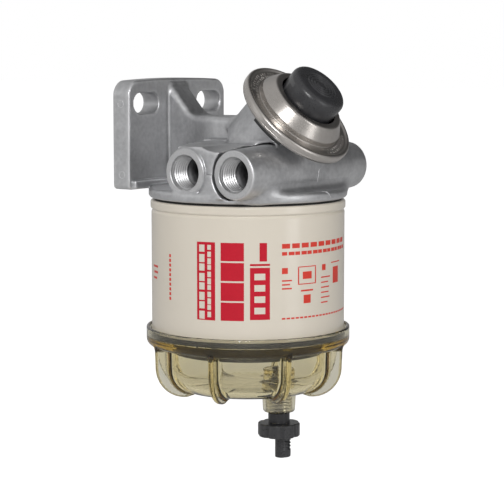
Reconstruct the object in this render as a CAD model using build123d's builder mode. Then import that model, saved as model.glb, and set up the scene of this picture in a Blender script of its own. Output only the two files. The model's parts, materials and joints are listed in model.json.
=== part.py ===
"""Fuel filter and water separator: a die-cast head with a bracket, four pipe ports and a
primer pump, a spin-on element, a clear water bowl and a drain valve.

Origin: midway between the two bracket slots, on the bracket's back face.
Axes: +Y out of the bracket's back, into the wall that carries it, and +Z up. Millimetres.
"""

import os
from math import cos, hypot, pi, radians, sin, tan

from build123d import *

# Clearances
THREAD_GAP = 0.1  # radial, between a screw thread's two sides
SEAL_GAP = 0.15  # radial, beside a seal that lies in a groove
SEAM_GAP = 0.05  # radial, between pieces that are pressed or seamed together
NEAR = 0.1  # how close an edge lies to the surface that it is picked by

# Can, which the head's flange, the gaskets and the bowl take their radii from
CAN_RADIUS = 54.0

# Bracket plate
PLATE_WIDTH = 86.6
PLATE_THICKNESS = 12.0
PLATE_RISE = 12.2  # slots' centre line up to the top edge, at the corners
PLATE_DROP = 48.0  # slots' centre line down to the lower edge
PLATE_CROWN = 1.4  # how much higher the top edge is at its middle
PLATE_CORNER = 8.0
PLATE_LOW_CORNER = 2.5
PLATE_EDGE = 1.0
SLOT_SPACING = 56.0
SLOT_LENGTH = 21.7
SLOT_WIDTH = 11.6
LEDGE_DEPTH = 3.0
LEDGE_HEIGHT = 5.0
LEDGE_INSET = 2.0

# Head casting
CAN_SETBACK = 62.0  # plate's back face to the can's axis
SEAT_DROP = 51.8  # slots' centre line down to the gasket seat
FLANGE_PROUD = 1.5  # flange beyond the can's wall
FLANGE_RADIUS = CAN_RADIUS + FLANGE_PROUD
FLANGE_THICKNESS = 5.6
FLANGE_EDGE = 2.2
PORT_RADIUS = 13.1
PORT_SPAN = 108.0  # face to face of the ports on the two sides
PORT_RISE = 16.2  # gasket seat up to the ports' axes
PORT_EDGE = 0.8
REAR_PORT_BACK = 2.0  # can's axis back to the outlet ports' axis
FRONT_PORT_FORWARD = 31.0  # can's axis forward to the inlet ports' axis
PORT_BORE_RADIUS = 7.6
PORT_BORE_DEPTH = 15.0
PASSAGE_RADIUS = 5.2
WEB_SPAN = PORT_SPAN - 12.0  # length of the web that joins the front and rear ports
WEB_RISE = 17.0
CORE_SPAN = 44.0  # length of the web's raised middle
CORE_RISE = 29.0
CORE_BEND = 20.0
VALLEY = 4.0  # fillet between the web and the ports' bosses
ARM_HALF_WIDTH = 8.8  # where the arm meets the plate
ARM_WAIST = 16.0  # how far forward of the plate it keeps that width
ARM_FLARE_WIDTH = 15.0  # half width, at the pump
ARM_FLARE = 36.0  # how far forward of the plate the arm is at full width
ARM_TUCK = 2.0  # how far the arm's end reaches in under the pump's housing
ARM_DROP = 8.4  # slots' centre line down to the arm's top
ARM_EDGE = 6.0
ARM_ROOT = 2.2  # fillets where the arm meets the plate and the pump
ARM_NECK = 1.0
GUSSET_RISE = 10.4  # slots' centre line up to where the gusset leaves the plate
GUSSET_LENGTH = 22.4
GUSSET_EDGE = 4.5

# Primer pump, whose heights count along its axis from the ridge of the cover's rim
PUMP_TILT = 45.0
PUMP_FORWARD = 35.2  # can's axis forward to the middle of the cover's rim
PUMP_RISE = 48.1  # gasket seat up to the middle of the cover's rim
HOUSING_RADIUS = 25.2
HOUSING_LENGTH = 30.0
HOUSING_ROOT = 4.0  # fillet where it meets the front port's boss
CHAMBER_RADIUS = 22.0
CHAMBER_DEPTH = 16.0
RIM_RADIUS = 34.3
COVER_SHEET = 0.8
COVER_DIP = 0.9  # flat ring of the cover below the ridge of its rim
COVER_SKIRT = 5.3
HAT_BASE_RADIUS = 25.3
HAT_RADIUS = 21.7
HAT_RISE = 8.8
HAT_FLARE = 3.4  # where the hat starts to widen, above the rim's ridge
HAT_STEP = 1.2
HAT_ROUND = 2.6
RIM_RIDGE = 3.0  # width of the rim's rolled ridge
RIM_CURL = 4.0  # how far the rim turns in under the housing
MOUTH_RADIUS = 17.4
DIAPHRAGM_SHEET = 1.0
HOUSING_LIP = 1.6  # thickness of the housing's flange, in the cover's rim
BUTTON_FOOT_RADIUS = 15.8
BUTTON_RADIUS = 16.6
BUTTON_FOOT = 3.6
BUTTON_SHOULDER = 14.0
BUTTON_TOP = 21.6
BUTTON_ROUND = 4.6
BUTTON_DOME = 0.7
BUTTON_WALL = 2.2
BUTTON_EDGE = 0.5
BUTTON_RINGS = (8.9, 7.0, 5.1, 3.1)
RING_GROOVE = 0.5
HUB_RADIUS = 6.0
STEM_RADIUS = 3.0
STEM_FOOT = 1.5
PLATE_DISC_RADIUS = 13.0
PLATE_DISC_SHEET = 1.2
CONVOLUTION_RADIUS = 3.6
SPRING_RADIUS = 5.4
SPRING_WIRE = 1.2
SPRING_PITCH = 2.4
VALVE_SEAT_RADIUS = 5.5
VALVE_SEAT_SHEET = 2.0
VALVE_RADIUS = 4.6
VALVE_SHEET = 0.8
VALVE_STEM_RADIUS = 1.2
VALVE_HOLE_RADIUS = 0.8
VALVE_HOLE_CIRCLE = 3.0
VALVE_HOLE_COUNT = 6
VALVE_BULB = 0.5
VALVE_RELIEF = 2.6  # depth of the pocket under a valve seat, for the umbrella's bulb
INTAKE_PLACE = (-10.0, -31.0)  # from the can's axis, across and forward
OUTLET_PLACE = (12.0, -20.0)
GALLERY_RADIUS = 3.2

# Joint between head and element
GASKET_STAND = 1.2  # seat down to the can's bead
GASKET_HEIGHT = 4.2
GASKET_WIDTH = 4.3
GASKET_INSET = 1.8  # can's outside in to the gasket's groove
GASKET_GROOVE_RADIUS = CAN_RADIUS - GASKET_INSET
ANNULUS_INNER = 17.5
ANNULUS_OUTER = 40.0
ANNULUS_DEPTH = 3.0
NIPPLE_RADIUS = 12.6
NIPPLE_BORE = 7.0
NIPPLE_REACH = 19.5  # below the seat
NIPPLE_HOLD = 9.0  # above the seat

# Spin-on element
CAN_SHEET = 0.8
CAN_HEIGHT = 73.3
BEAD_PROUD = 0.5  # bead beyond the can's wall
BEAD_RADIUS = CAN_RADIUS + BEAD_PROUD
BEAD_HEIGHT = 4.4
BEAD_ROUND = 1.2
NECK_DIP = 0.7  # neck below the bead, in from the can's wall
NECK_RADIUS = CAN_RADIUS - NECK_DIP
NECK_HEIGHT = 1.4
PLATE_SHEET = 3.0
TAP_WALL = 4.0
TAP_LENGTH = 10.0
INLET_HOLE_RADIUS = 3.2
INLET_CIRCLE = 26.0
INLET_COUNT = 8
MEDIA_OUTER = 45.0
MEDIA_INNER = 21.0
PLEAT_BAND = 4.0  # radial depth of the paper in a pleat's flank
PLEATS = 40
CAP_SHEET = 1.2
CAP_RADIUS = 46.5
CAP_HEM = 3.0
TUBE_RADIUS = 20.4
TUBE_SHEET = 0.8
TUBE_HOLE_RADIUS = 2.6
TUBE_HOLE_ROWS = 3
TUBE_HOLE_COUNT = 6
GROMMET_HEIGHT = 4.0
GROMMET_WIDTH = 3.0
FOOT_COUNT = 6
FOOT_WIDTH = 9.0
FOOT_REACH = 4.0
FOOT_HEIGHT = 3.0
RING_HEIGHT = 15.0
RING_WALL = 8.0  # can's outside in to the bottom ring's thread
RING_THREAD_RADIUS = CAN_RADIUS - RING_WALL
THREAD_CHAMFER = 1.0

# Clear bowl
LIP_PROUD = 3.1  # lip beyond the can's wall
LIP_RADIUS = CAN_RADIUS + LIP_PROUD
LIP_WALL = 2.0
LIP_RISE = 5.4  # gasket floor up to the lip's top
RING_DEPTH = 5.4  # gasket floor down to the grip ring's lower face
RING_BEVEL = 2.4
BOWL_GASKET_HEIGHT = 3.1
BOWL_GASKET_WIDTH = 4.3
COLLAR_WALL = 3.4
COLLAR_RISE = 14.0
BOWL_INSET = 9.5  # lip's outside in to the cup's outside
BOWL_RADIUS = LIP_RADIUS - BOWL_INSET
BOWL_TAPER = 0.9
BOWL_WALL = 3.2
BOWL_DEPTH = 30.9  # gasket floor down to the bowl's flat base
BOWL_CORNER = 13.0
FIN_COUNT = 8
FIN_AZIMUTH = 15.6
FIN_THICKNESS = 3.0
FIN_PROUD = 8.4  # how far the fins stand out from the cup
FIN_RADIUS = BOWL_RADIUS + FIN_PROUD
FIN_TAPER = 1.2
FIN_DROP = 2.4  # how far the fins stand below the flat base
FIN_CORNER = 17.0
FIN_SOLE = 19.0  # fins' outer edge in to where their lower edge starts to rise
FIN_RAMP = 10.0  # from there in to where they fade into the base
FIN_FOOT = FIN_RADIUS - FIN_SOLE
FIN_FADE = FIN_FOOT - FIN_RAMP
BOSS_OFFSET = 17.5
BOSS_AZIMUTH = -53.1
BOSS_RADIUS = 9.9
BOSS_END_RADIUS = 9.0
BOSS_DROP = 13.7
BOSS_EDGE = 1.5
BOSS_RISE = 11.3  # flat base up to the boss's top inside the bowl
LAND_RADIUS = 4.0  # narrow bore at the boss's top, which the o-ring shuts
LAND_HEIGHT = 3.2

# Drain valve
SCREW_RADIUS = 6.15
SCREW_NECK = 6.2  # boss's lower face down to the knob, shut
NOSE_GAP = 0.15  # radial, between the valve's nose and the boss's narrow bore
NOSE_PROUD = 1.0
NOSE_ROOT = 2.6  # land down to the screw's shoulder, shut
DRAIN_BORE = 1.8
CROSS_HOLE_RADIUS = 1.0
KNOB_RADIUS = 11.9
KNOB_HEIGHT = 7.6
KNOB_FLUTES = 8
FLUTE_RADIUS = 2.2
FLUTE_INSET = 0.9  # how far a flute cuts into the knob
KNOB_EDGE = 0.7
BARB_OFFSET = 2.3
BARB_RADIUS = 4.5
BARB_END_RADIUS = 4.1
BARB_LENGTH = 12.2
BARB_TEETH = 2
BARB_TOOTH = 0.7
BARB_TOOTH_PITCH = 3.6
BARB_TOOTH_HEIGHT = 2.0
BARB_TIP = 2.6  # barb's end up to below its first tooth
O_RING_SECTION = 0.6

# Port plugs
PLUG_HEX = 9.5
PLUG_HEX_DEPTH = 7.0
PLUG_RECESS = 2.0
PLUG_LENGTH = 11.0
PLUG_EDGE = 0.5

# Heights and planes that several pieces share
SEAT_Z = -SEAT_DROP
PORT_Z = SEAT_Z + PORT_RISE
CAN_TOP_Z = SEAT_Z - GASKET_STAND
GROOVE_Z = SEAT_Z - GASKET_HEIGHT
CAN_BOTTOM_Z = CAN_TOP_Z - CAN_HEIGHT
TOP_PLATE_Z = GROOVE_Z - PLATE_SHEET
TAP_END_Z = GROOVE_Z - TAP_LENGTH
MEDIA_TOP_Z = TAP_END_Z - CAP_SHEET
RING_TOP_Z = CAN_BOTTOM_Z + RING_HEIGHT
FOOT_TOP_Z = RING_TOP_Z + FOOT_HEIGHT
MEDIA_BOTTOM_Z = FOOT_TOP_Z + CAP_SHEET
FLOOR_Z = CAN_BOTTOM_Z - BOWL_GASKET_HEIGHT
GRIP_BOTTOM_Z = FLOOR_Z - RING_DEPTH
BASE_Z = FLOOR_Z - BOWL_DEPTH
BOSS_TOP_Z = BASE_Z + BOSS_RISE
BOSS_END_Z = BASE_Z - BOSS_DROP
LAND_Z = BOSS_TOP_Z - LAND_HEIGHT
O_RING_Z = BOSS_TOP_Z - LAND_HEIGHT / 2
SHOULDER_Z = LAND_Z - NOSE_ROOT
KNOB_TOP_Z = BOSS_END_Z - SCREW_NECK
KNOB_END_Z = KNOB_TOP_Z - KNOB_HEIGHT
BARB_END_Z = KNOB_END_Z - BARB_LENGTH
CHANNEL_Z = SEAT_Z + ANNULUS_DEPTH
CHAMBER_S = -CHAMBER_DEPTH
LIP_S = -COVER_DIP - COVER_SHEET - DIAPHRAGM_SHEET
GROMMET_OUTER = NIPPLE_RADIUS + THREAD_GAP + GROMMET_WIDTH

CAN_Y = -CAN_SETBACK
REAR_PORT_Y = CAN_Y + REAR_PORT_BACK
FRONT_PORT_Y = CAN_Y - FRONT_PORT_FORWARD
PUMP_CENTRE = (0, CAN_Y - PUMP_FORWARD, SEAT_Z + PUMP_RISE)
PUMP_NORMAL = (0, -sin(radians(PUMP_TILT)), cos(radians(PUMP_TILT)))
PUMP_ACROSS = (0, -cos(radians(PUMP_TILT)), -sin(radians(PUMP_TILT)))

CAN_AXIS = Axis((0, CAN_Y, 0), (0, 0, 1))
CAN_SECTION = Plane(origin=(0, CAN_Y, 0), x_dir=(1, 0, 0), z_dir=(0, -1, 0))
PUMP_AXIS = Axis(PUMP_CENTRE, PUMP_NORMAL)
PUMP_PLANE = Plane(origin=PUMP_CENTRE, x_dir=(1, 0, 0), z_dir=PUMP_NORMAL)
PUMP_SECTION = Plane(origin=PUMP_CENTRE, x_dir=(1, 0, 0), z_dir=PUMP_ACROSS)

BOSS_X = BOSS_OFFSET * cos(radians(BOSS_AZIMUTH))
BOSS_Y = CAN_Y + BOSS_OFFSET * sin(radians(BOSS_AZIMUTH))
DRAIN_AXIS = Axis((BOSS_X, BOSS_Y, 0), (0, 0, 1))
DRAIN_SECTION = Plane(origin=(BOSS_X, BOSS_Y, 0), x_dir=(1, 0, 0), z_dir=(0, -1, 0))


def level(height):
    """Horizontal plane on the can's axis."""
    return Plane(origin=(0, CAN_Y, height))


def drain_level(height):
    """Horizontal plane on the drain valve's axis."""
    return Plane(origin=(BOSS_X, BOSS_Y, height))


def barb_level(height):
    """Horizontal plane on the hose barb's axis, with its X axis away from the drain axis."""
    aside = (cos(radians(BOSS_AZIMUTH)), sin(radians(BOSS_AZIMUTH)), 0)
    origin = Vector(BOSS_X, BOSS_Y, height) + Vector(*aside) * BARB_OFFSET
    return Plane(origin=origin, x_dir=aside, z_dir=(0, 0, 1))


def radial(azimuth):
    """Upright plane through the can's axis, with its X axis along that azimuth."""
    turn = radians(azimuth)
    return Plane(
        origin=(0, CAN_Y, 0), x_dir=(cos(turn), sin(turn), 0), z_dir=(sin(turn), -cos(turn), 0)
    )


def across(azimuth, height):
    """Upright plane whose normal points along that azimuth, through the can's axis."""
    turn = radians(azimuth)
    return Plane(
        origin=(0, CAN_Y, height), x_dir=(-sin(turn), cos(turn), 0), z_dir=(cos(turn), sin(turn), 0)
    )


def floor_height(place):
    """Height of the pump chamber's tilted floor over a place beside the can's axis."""
    forward = CAN_Y + place[1] - PUMP_CENTRE[1]
    return PUMP_CENTRE[2] + CHAMBER_S / cos(radians(PUMP_TILT)) + forward * tan(radians(PUMP_TILT))


def on_housing(edge):
    """Whether an edge lies where the side of the pump's housing runs into another surface."""
    place = PUMP_PLANE.to_local_coords(edge @ 0.5)
    aside = hypot(place.X, place.Y)
    return edge.geom_type != GeomType.CIRCLE and abs(aside - HOUSING_RADIUS) < NEAR


def in_valley(edge):
    """Whether an edge lies where a slope of the web meets a port's boss."""
    middle = edge @ 0.5
    beside = edge.geom_type == GeomType.ELLIPSE and HOUSING_RADIUS < abs(middle.X) < WEB_SPAN / 2
    return beside and FRONT_PORT_Y < middle.Y < REAR_PORT_Y and middle.Z > SEAT_Z + WEB_RISE + NEAR


def outline(corners):
    """Closed outline through corners, each (radius, height) or (radius, height, rounding)."""
    points = [corner[:2] for corner in corners]
    rounding = [corner[2] if len(corner) > 2 else 0 for corner in corners]
    FilletPolyline(*points, radius=rounding, close=True)


def seat_disc():
    """Valve seat, pierced for the umbrella's stem and for the fuel."""
    Circle(VALVE_SEAT_RADIUS)
    Circle(VALVE_STEM_RADIUS + SEAM_GAP, mode=Mode.SUBTRACT)
    with PolarLocations(VALVE_HOLE_CIRCLE, VALVE_HOLE_COUNT):
        Circle(VALVE_HOLE_RADIUS, mode=Mode.SUBTRACT)


def umbrella_outline():
    """Half section of an umbrella valve, its cap on the seat and its bulb behind it."""
    behind = -VALVE_SEAT_SHEET - SEAM_GAP
    outline(
        [
            (0, VALVE_SHEET),
            (VALVE_RADIUS, VALVE_SHEET, VALVE_SHEET / 2),
            (VALVE_RADIUS, 0),
            (VALVE_STEM_RADIUS, 0),
            (VALVE_STEM_RADIUS, behind),
            (VALVE_STEM_RADIUS + VALVE_BULB, behind),
            (VALVE_STEM_RADIUS, behind - 3 * VALVE_BULB),
            (0, behind - 3 * VALVE_BULB),
        ]
    )


def pleat_points(outer, inner):
    """Zigzag of pleats, whose folds lie on two circles in turn."""
    folds = []
    for pleat in range(PLEATS):
        for radius, turn in ((outer, pleat), (inner, pleat + 0.5)):
            angle = 2 * pi * turn / PLEATS
            folds.append((radius * cos(angle), radius * sin(angle)))
    return folds


def half_ring(radius):
    """Half disc on the side of the barb that carries its teeth."""
    Circle(radius)
    with Locations((-radius, 0)):
        Rectangle(2 * radius, 2 * radius, mode=Mode.SUBTRACT)


# Valve places: the intake in the chamber's floor, the outlet in the roof of the channel
INTAKE_POINT = (INTAKE_PLACE[0], CAN_Y + INTAKE_PLACE[1], floor_height(INTAKE_PLACE))
INTAKE_AXIS = Axis(INTAKE_POINT, PUMP_NORMAL)
INTAKE_PLANE = Plane(origin=INTAKE_POINT, x_dir=(1, 0, 0), z_dir=PUMP_NORMAL)
INTAKE_SECTION = Plane(origin=INTAKE_POINT, x_dir=(1, 0, 0), z_dir=PUMP_ACROSS)
OUTLET_POINT = (OUTLET_PLACE[0], CAN_Y + OUTLET_PLACE[1], CHANNEL_Z)
OUTLET_AXIS = Axis(OUTLET_POINT, (0, 0, -1))
OUTLET_PLANE = Plane(origin=OUTLET_POINT, x_dir=(1, 0, 0), z_dir=(0, 0, -1))
OUTLET_SECTION = Plane(origin=OUTLET_POINT, x_dir=(1, 0, 0), z_dir=(0, 1, 0))

# Bracket plate of the head, with its crowned top edge, slots and lower ledge
with BuildPart() as plate_blank:
    with BuildSketch(Plane.XZ) as plate_face:
        with BuildLine():
            half = PLATE_WIDTH / 2
            ThreePointArc((-half, PLATE_RISE), (0, PLATE_RISE + PLATE_CROWN), (half, PLATE_RISE))
            Polyline(
                (half, PLATE_RISE), (half, -PLATE_DROP), (-half, -PLATE_DROP), (-half, PLATE_RISE)
            )
        make_face()
        fillet(plate_face.vertices().group_by(Axis.Y)[-1], PLATE_CORNER)
        fillet(plate_face.vertices().group_by(Axis.Y)[0], PLATE_LOW_CORNER)
    extrude(amount=PLATE_THICKNESS)
    with BuildSketch(Plane.XZ):
        with GridLocations(SLOT_SPACING, 0, 2, 1):
            SlotOverall(SLOT_LENGTH, SLOT_WIDTH)
    extrude(amount=PLATE_THICKNESS, mode=Mode.SUBTRACT)
    fillet(plate_blank.faces().sort_by(Axis.Y)[0].edges(), PLATE_EDGE)
    with BuildSketch(Plane.XZ.offset(PLATE_THICKNESS - PLATE_EDGE)):
        with Locations((0, LEDGE_HEIGHT / 2 - PLATE_DROP + PLATE_EDGE / 2)):
            Rectangle(PLATE_WIDTH - 2 * LEDGE_INSET, LEDGE_HEIGHT - PLATE_EDGE)
    extrude(amount=LEDGE_DEPTH + PLATE_EDGE)
    fillet(plate_blank.faces().sort_by(Axis.Y)[0].edges().group_by(Axis.Z)[-1], PLATE_EDGE)

# Arm from the plate to the pump, waisted at the plate and rounded along its top
with BuildPart() as arm_blank:
    with BuildSketch(Plane.XY.offset(SEAT_Z + FLANGE_THICKNESS / 2)) as arm_plan:
        with BuildLine():
            root = -PLATE_EDGE
            flare = -PLATE_THICKNESS - ARM_FLARE
            end = PUMP_CENTRE[1] + HOUSING_RADIUS - ARM_TUCK
            waist = -PLATE_THICKNESS - ARM_WAIST
            left_side = [
                (-ARM_HALF_WIDTH, root),
                (-ARM_HALF_WIDTH, waist),
                (-ARM_FLARE_WIDTH, flare),
                (-ARM_FLARE_WIDTH, end),
            ]
            right_side = [(-x, y) for x, y in reversed(left_side)]
            Polyline(*left_side, *right_side, close=True)
        make_face()
        bends = arm_plan.vertices().group_by(Axis.Y)
        fillet(bends[1] + bends[2], ARM_WAIST / 2)
    extrude(amount=SEAT_DROP - FLANGE_THICKNESS / 2 - ARM_DROP)
    fillet(arm_blank.faces().sort_by(Axis.Z)[-1].edges(), ARM_EDGE)

# Gusset that runs from the plate's top down to the arm
with BuildPart() as gusset_blank:
    with BuildSketch(Plane.YZ.offset(-ARM_HALF_WIDTH)):
        with BuildLine():
            Polyline(
                (root, -ARM_DROP - ARM_EDGE),
                (root, GUSSET_RISE),
                (-PLATE_THICKNESS, GUSSET_RISE),
                (-PLATE_THICKNESS - GUSSET_LENGTH, -ARM_DROP - ARM_EDGE),
                close=True,
            )
        make_face()
    extrude(amount=2 * ARM_HALF_WIDTH)
    slope = gusset_blank.faces().sort_by(Axis.Y)[0]
    fillet([edge for edge in slope.edges() if abs((edge % 0).X) < 0.5], GUSSET_EDGE)

# Plate, arm and gusset in one, with the arm's root filled
with BuildPart() as bracket_blank:
    add(plate_blank.part)
    add(arm_blank.part)
    add(gusset_blank.part)
    arm_roots = []
    for edge in bracket_blank.edges():
        middle = edge @ 0.5
        at_face = abs(middle.Y + PLATE_THICKNESS) < NEAR and abs(middle.X) < ARM_HALF_WIDTH + NEAR
        if at_face and LEDGE_HEIGHT - PLATE_DROP < middle.Z < GUSSET_RISE + NEAR:
            arm_roots.append(edge)
    fillet(arm_roots, ARM_ROOT)

# Two bosses along X, each with a pipe port at both ends, and the web between them
with BuildPart() as port_blank:
    with BuildSketch(Plane.YZ.offset(-PORT_SPAN / 2)):
        with Locations((REAR_PORT_Y, PORT_Z), (FRONT_PORT_Y, PORT_Z)):
            Circle(PORT_RADIUS)
    extrude(amount=PORT_SPAN)
    chamfer(port_blank.edges().filter_by(GeomType.CIRCLE), PORT_EDGE)
    with BuildSketch(Plane.XZ.offset(-FRONT_PORT_Y)):
        with BuildLine():
            flange_middle = SEAT_Z + FLANGE_THICKNESS / 2
            outline(
                [
                    (-WEB_SPAN / 2, flange_middle),
                    (-WEB_SPAN / 2, SEAT_Z + WEB_RISE),
                    (-CORE_SPAN / 2, SEAT_Z + CORE_RISE, CORE_BEND),
                    (CORE_SPAN / 2, SEAT_Z + CORE_RISE, CORE_BEND),
                    (WEB_SPAN / 2, SEAT_Z + WEB_RISE),
                    (WEB_SPAN / 2, flange_middle),
                ]
            )
        make_face()
    extrude(amount=FRONT_PORT_Y - REAR_PORT_Y)

# Flange that carries the gasket's seat, with a rounded rim
with BuildPart() as flange_blank:
    with BuildSketch(level(SEAT_Z)):
        Circle(FLANGE_RADIUS)
    extrude(amount=FLANGE_THICKNESS)
    fillet(flange_blank.edges().filter_by(GeomType.CIRCLE), FLANGE_EDGE)

# The head casting itself
with BuildPart() as head_casting:
    add(bracket_blank.part)
    add(port_blank.part)
    with BuildSketch(PUMP_PLANE.offset(LIP_S - HOUSING_LIP / 2)):
        Circle(HOUSING_RADIUS)
    extrude(amount=-HOUSING_LENGTH)
    housing_roots = head_casting.edges().filter_by(on_housing)
    fillet([edge for edge in housing_roots if (edge @ 0.5).Y < PUMP_CENTRE[1]], HOUSING_ROOT)
    housing_roots = head_casting.edges().filter_by(on_housing)
    fillet([edge for edge in housing_roots if (edge @ 0.5).Y > CAN_Y], ARM_NECK)
    valleys = head_casting.edges().filter_by(in_valley)
    web_middle = (FRONT_PORT_Y + REAR_PORT_Y) / 2
    fillet([edge for edge in valleys if (edge @ 0.5).Y > web_middle], VALLEY)
    add(flange_blank.part)
    with BuildSketch(PUMP_PLANE.offset(LIP_S)):
        Circle(RIM_RADIUS - COVER_SHEET - SEAM_GAP)
    extrude(amount=-HOUSING_LIP)
    with BuildSketch(PUMP_PLANE.offset(LIP_S)):
        Circle(CHAMBER_RADIUS)
    extrude(amount=CHAMBER_S - LIP_S, mode=Mode.SUBTRACT)
    # through passage of each boss, opened out to a pipe port at both ends
    with BuildSketch(Plane.YZ.offset(-PORT_SPAN / 2)):
        with Locations((REAR_PORT_Y, PORT_Z), (FRONT_PORT_Y, PORT_Z)):
            Circle(PASSAGE_RADIUS)
    extrude(amount=PORT_SPAN, mode=Mode.SUBTRACT)
    for port_face, inwards in ((-PORT_SPAN / 2, 1), (PORT_SPAN / 2, -1)):
        with BuildSketch(Plane.YZ.offset(port_face)):
            with Locations((REAR_PORT_Y, PORT_Z), (FRONT_PORT_Y, PORT_Z)):
                Circle(PORT_BORE_RADIUS)
        extrude(amount=inwards * PORT_BORE_DEPTH, mode=Mode.SUBTRACT)
    # channel under the flange that feeds the element's inlet holes
    with BuildSketch(level(SEAT_Z)):
        Circle(ANNULUS_OUTER)
        Circle(ANNULUS_INNER, mode=Mode.SUBTRACT)
    extrude(amount=ANNULUS_DEPTH, mode=Mode.SUBTRACT)
    # nipple's hole, and the way up from it to the outlet passage
    with BuildSketch(level(SEAT_Z)):
        Circle(NIPPLE_RADIUS + SEAM_GAP)
    extrude(amount=NIPPLE_HOLD, mode=Mode.SUBTRACT)
    with BuildSketch(level(SEAT_Z)):
        Circle(PASSAGE_RADIUS)
    extrude(amount=PORT_RISE, mode=Mode.SUBTRACT)
    # galleries: inlet passage up to the pump, and pump down to the channel
    with BuildSketch(level(PORT_Z)):
        with Locations(INTAKE_PLACE):
            Circle(GALLERY_RADIUS)
    extrude(amount=floor_height(INTAKE_PLACE) + GALLERY_RADIUS - PORT_Z, mode=Mode.SUBTRACT)
    with BuildSketch(level(CHANNEL_Z)):
        with Locations(OUTLET_PLACE):
            Circle(GALLERY_RADIUS)
    extrude(amount=floor_height(OUTLET_PLACE) + GALLERY_RADIUS - CHANNEL_Z, mode=Mode.SUBTRACT)
    for valve_plane in (INTAKE_PLANE, OUTLET_PLANE):
        with BuildSketch(valve_plane):
            Circle(VALVE_SEAT_RADIUS + SEAM_GAP)
        extrude(amount=-VALVE_SEAT_SHEET, mode=Mode.SUBTRACT)
        with BuildSketch(valve_plane):
            Circle(VALVE_HOLE_CIRCLE + VALVE_HOLE_RADIUS)
        extrude(amount=-VALVE_SEAT_SHEET - VALVE_RELIEF, mode=Mode.SUBTRACT)

# Hollow threaded stud that carries the element
with BuildPart() as element_nipple:
    with BuildSketch(level(SEAT_Z - NIPPLE_REACH)):
        Circle(NIPPLE_RADIUS)
        Circle(NIPPLE_BORE, mode=Mode.SUBTRACT)
    extrude(amount=NIPPLE_REACH + NIPPLE_HOLD)
    chamfer(element_nipple.edges().group_by(Axis.Z)[0].sort_by(SortBy.RADIUS)[-1], THREAD_CHAMFER)

# Hex socket plugs in the two ports on the far side
with BuildPart() as port_plugs:
    with BuildSketch(Plane.YZ.offset(PORT_SPAN / 2 - PLUG_RECESS)):
        with Locations((REAR_PORT_Y, PORT_Z), (FRONT_PORT_Y, PORT_Z)):
            Circle(PORT_BORE_RADIUS - SEAM_GAP)
    extrude(amount=-PLUG_LENGTH)
    chamfer(port_plugs.edges().filter_by(GeomType.CIRCLE), PLUG_EDGE)
    with BuildSketch(Plane.YZ.offset(PORT_SPAN / 2 - PLUG_RECESS)):
        with Locations((REAR_PORT_Y, PORT_Z), (FRONT_PORT_Y, PORT_Z)):
            RegularPolygon(PLUG_HEX / 2, 6, major_radius=False)
    extrude(amount=-PLUG_HEX_DEPTH, mode=Mode.SUBTRACT)

# Stamped cover of the pump: a hat with a flat ring, rolled round the housing's flange
with BuildPart() as pump_cover:
    with BuildSketch(PUMP_SECTION):
        with BuildLine():
            hat_in = HAT_RADIUS - COVER_SHEET
            base_in = HAT_BASE_RADIUS - COVER_SHEET
            flat_low = -COVER_DIP - COVER_SHEET
            skirt_in = RIM_RADIUS - COVER_SHEET
            outline(
                [
                    (MOUTH_RADIUS, HAT_RISE),
                    (HAT_RADIUS, HAT_RISE, HAT_ROUND),
                    (HAT_RADIUS, HAT_FLARE, HAT_FLARE),
                    (HAT_BASE_RADIUS, HAT_STEP, HAT_STEP),
                    (HAT_BASE_RADIUS, -COVER_DIP, COVER_SHEET / 2),
                    (RIM_RADIUS - RIM_RIDGE, -COVER_DIP, COVER_SHEET / 2),
                    (RIM_RADIUS - RIM_RIDGE + COVER_DIP, 0, COVER_SHEET / 2),
                    (RIM_RADIUS, 0, COVER_DIP),
                    (RIM_RADIUS, -COVER_SKIRT, COVER_SHEET),
                    (RIM_RADIUS - RIM_CURL, -COVER_SKIRT),
                    (RIM_RADIUS - RIM_CURL, -COVER_SKIRT + COVER_SHEET),
                    (skirt_in, -COVER_SKIRT + COVER_SHEET),
                    (skirt_in, flat_low),
                    (base_in, flat_low),
                    (base_in, HAT_STEP - COVER_SHEET, HAT_STEP / 2),
                    (hat_in, HAT_FLARE - COVER_SHEET, HAT_FLARE),
                    (hat_in, HAT_RISE - COVER_SHEET, HAT_ROUND - COVER_SHEET),
                    (MOUTH_RADIUS, HAT_RISE - COVER_SHEET),
                ]
            )
        make_face()
    revolve(axis=PUMP_AXIS)

# Rubber diaphragm, clamped under the cover, with one rolled convolution
with BuildPart() as pump_diaphragm:
    with BuildSketch(PUMP_SECTION):
        with BuildLine():
            top = -COVER_DIP - COVER_SHEET
            low = top - DIAPHRAGM_SHEET
            roll_in = PLATE_DISC_RADIUS + DIAPHRAGM_SHEET
            roll_mid = roll_in + CONVOLUTION_RADIUS
            roll_out = roll_mid + CONVOLUTION_RADIUS
            inner = CONVOLUTION_RADIUS - DIAPHRAGM_SHEET
            hole = STEM_RADIUS + SEAM_GAP
            Polyline((roll_in, top), (hole, top), (hole, low), (roll_in + DIAPHRAGM_SHEET, low))
            ThreePointArc(
                (roll_in + DIAPHRAGM_SHEET, low),
                (roll_mid, low + inner),
                (roll_out - DIAPHRAGM_SHEET, low),
            )
            Polyline(
                (roll_out - DIAPHRAGM_SHEET, low),
                (skirt_in - SEAM_GAP, low),
                (skirt_in - SEAM_GAP, top),
                (roll_out, top),
            )
            ThreePointArc((roll_out, top), (roll_mid, top + CONVOLUTION_RADIUS), (roll_in, top))
        make_face()
    revolve(axis=PUMP_AXIS)

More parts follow.
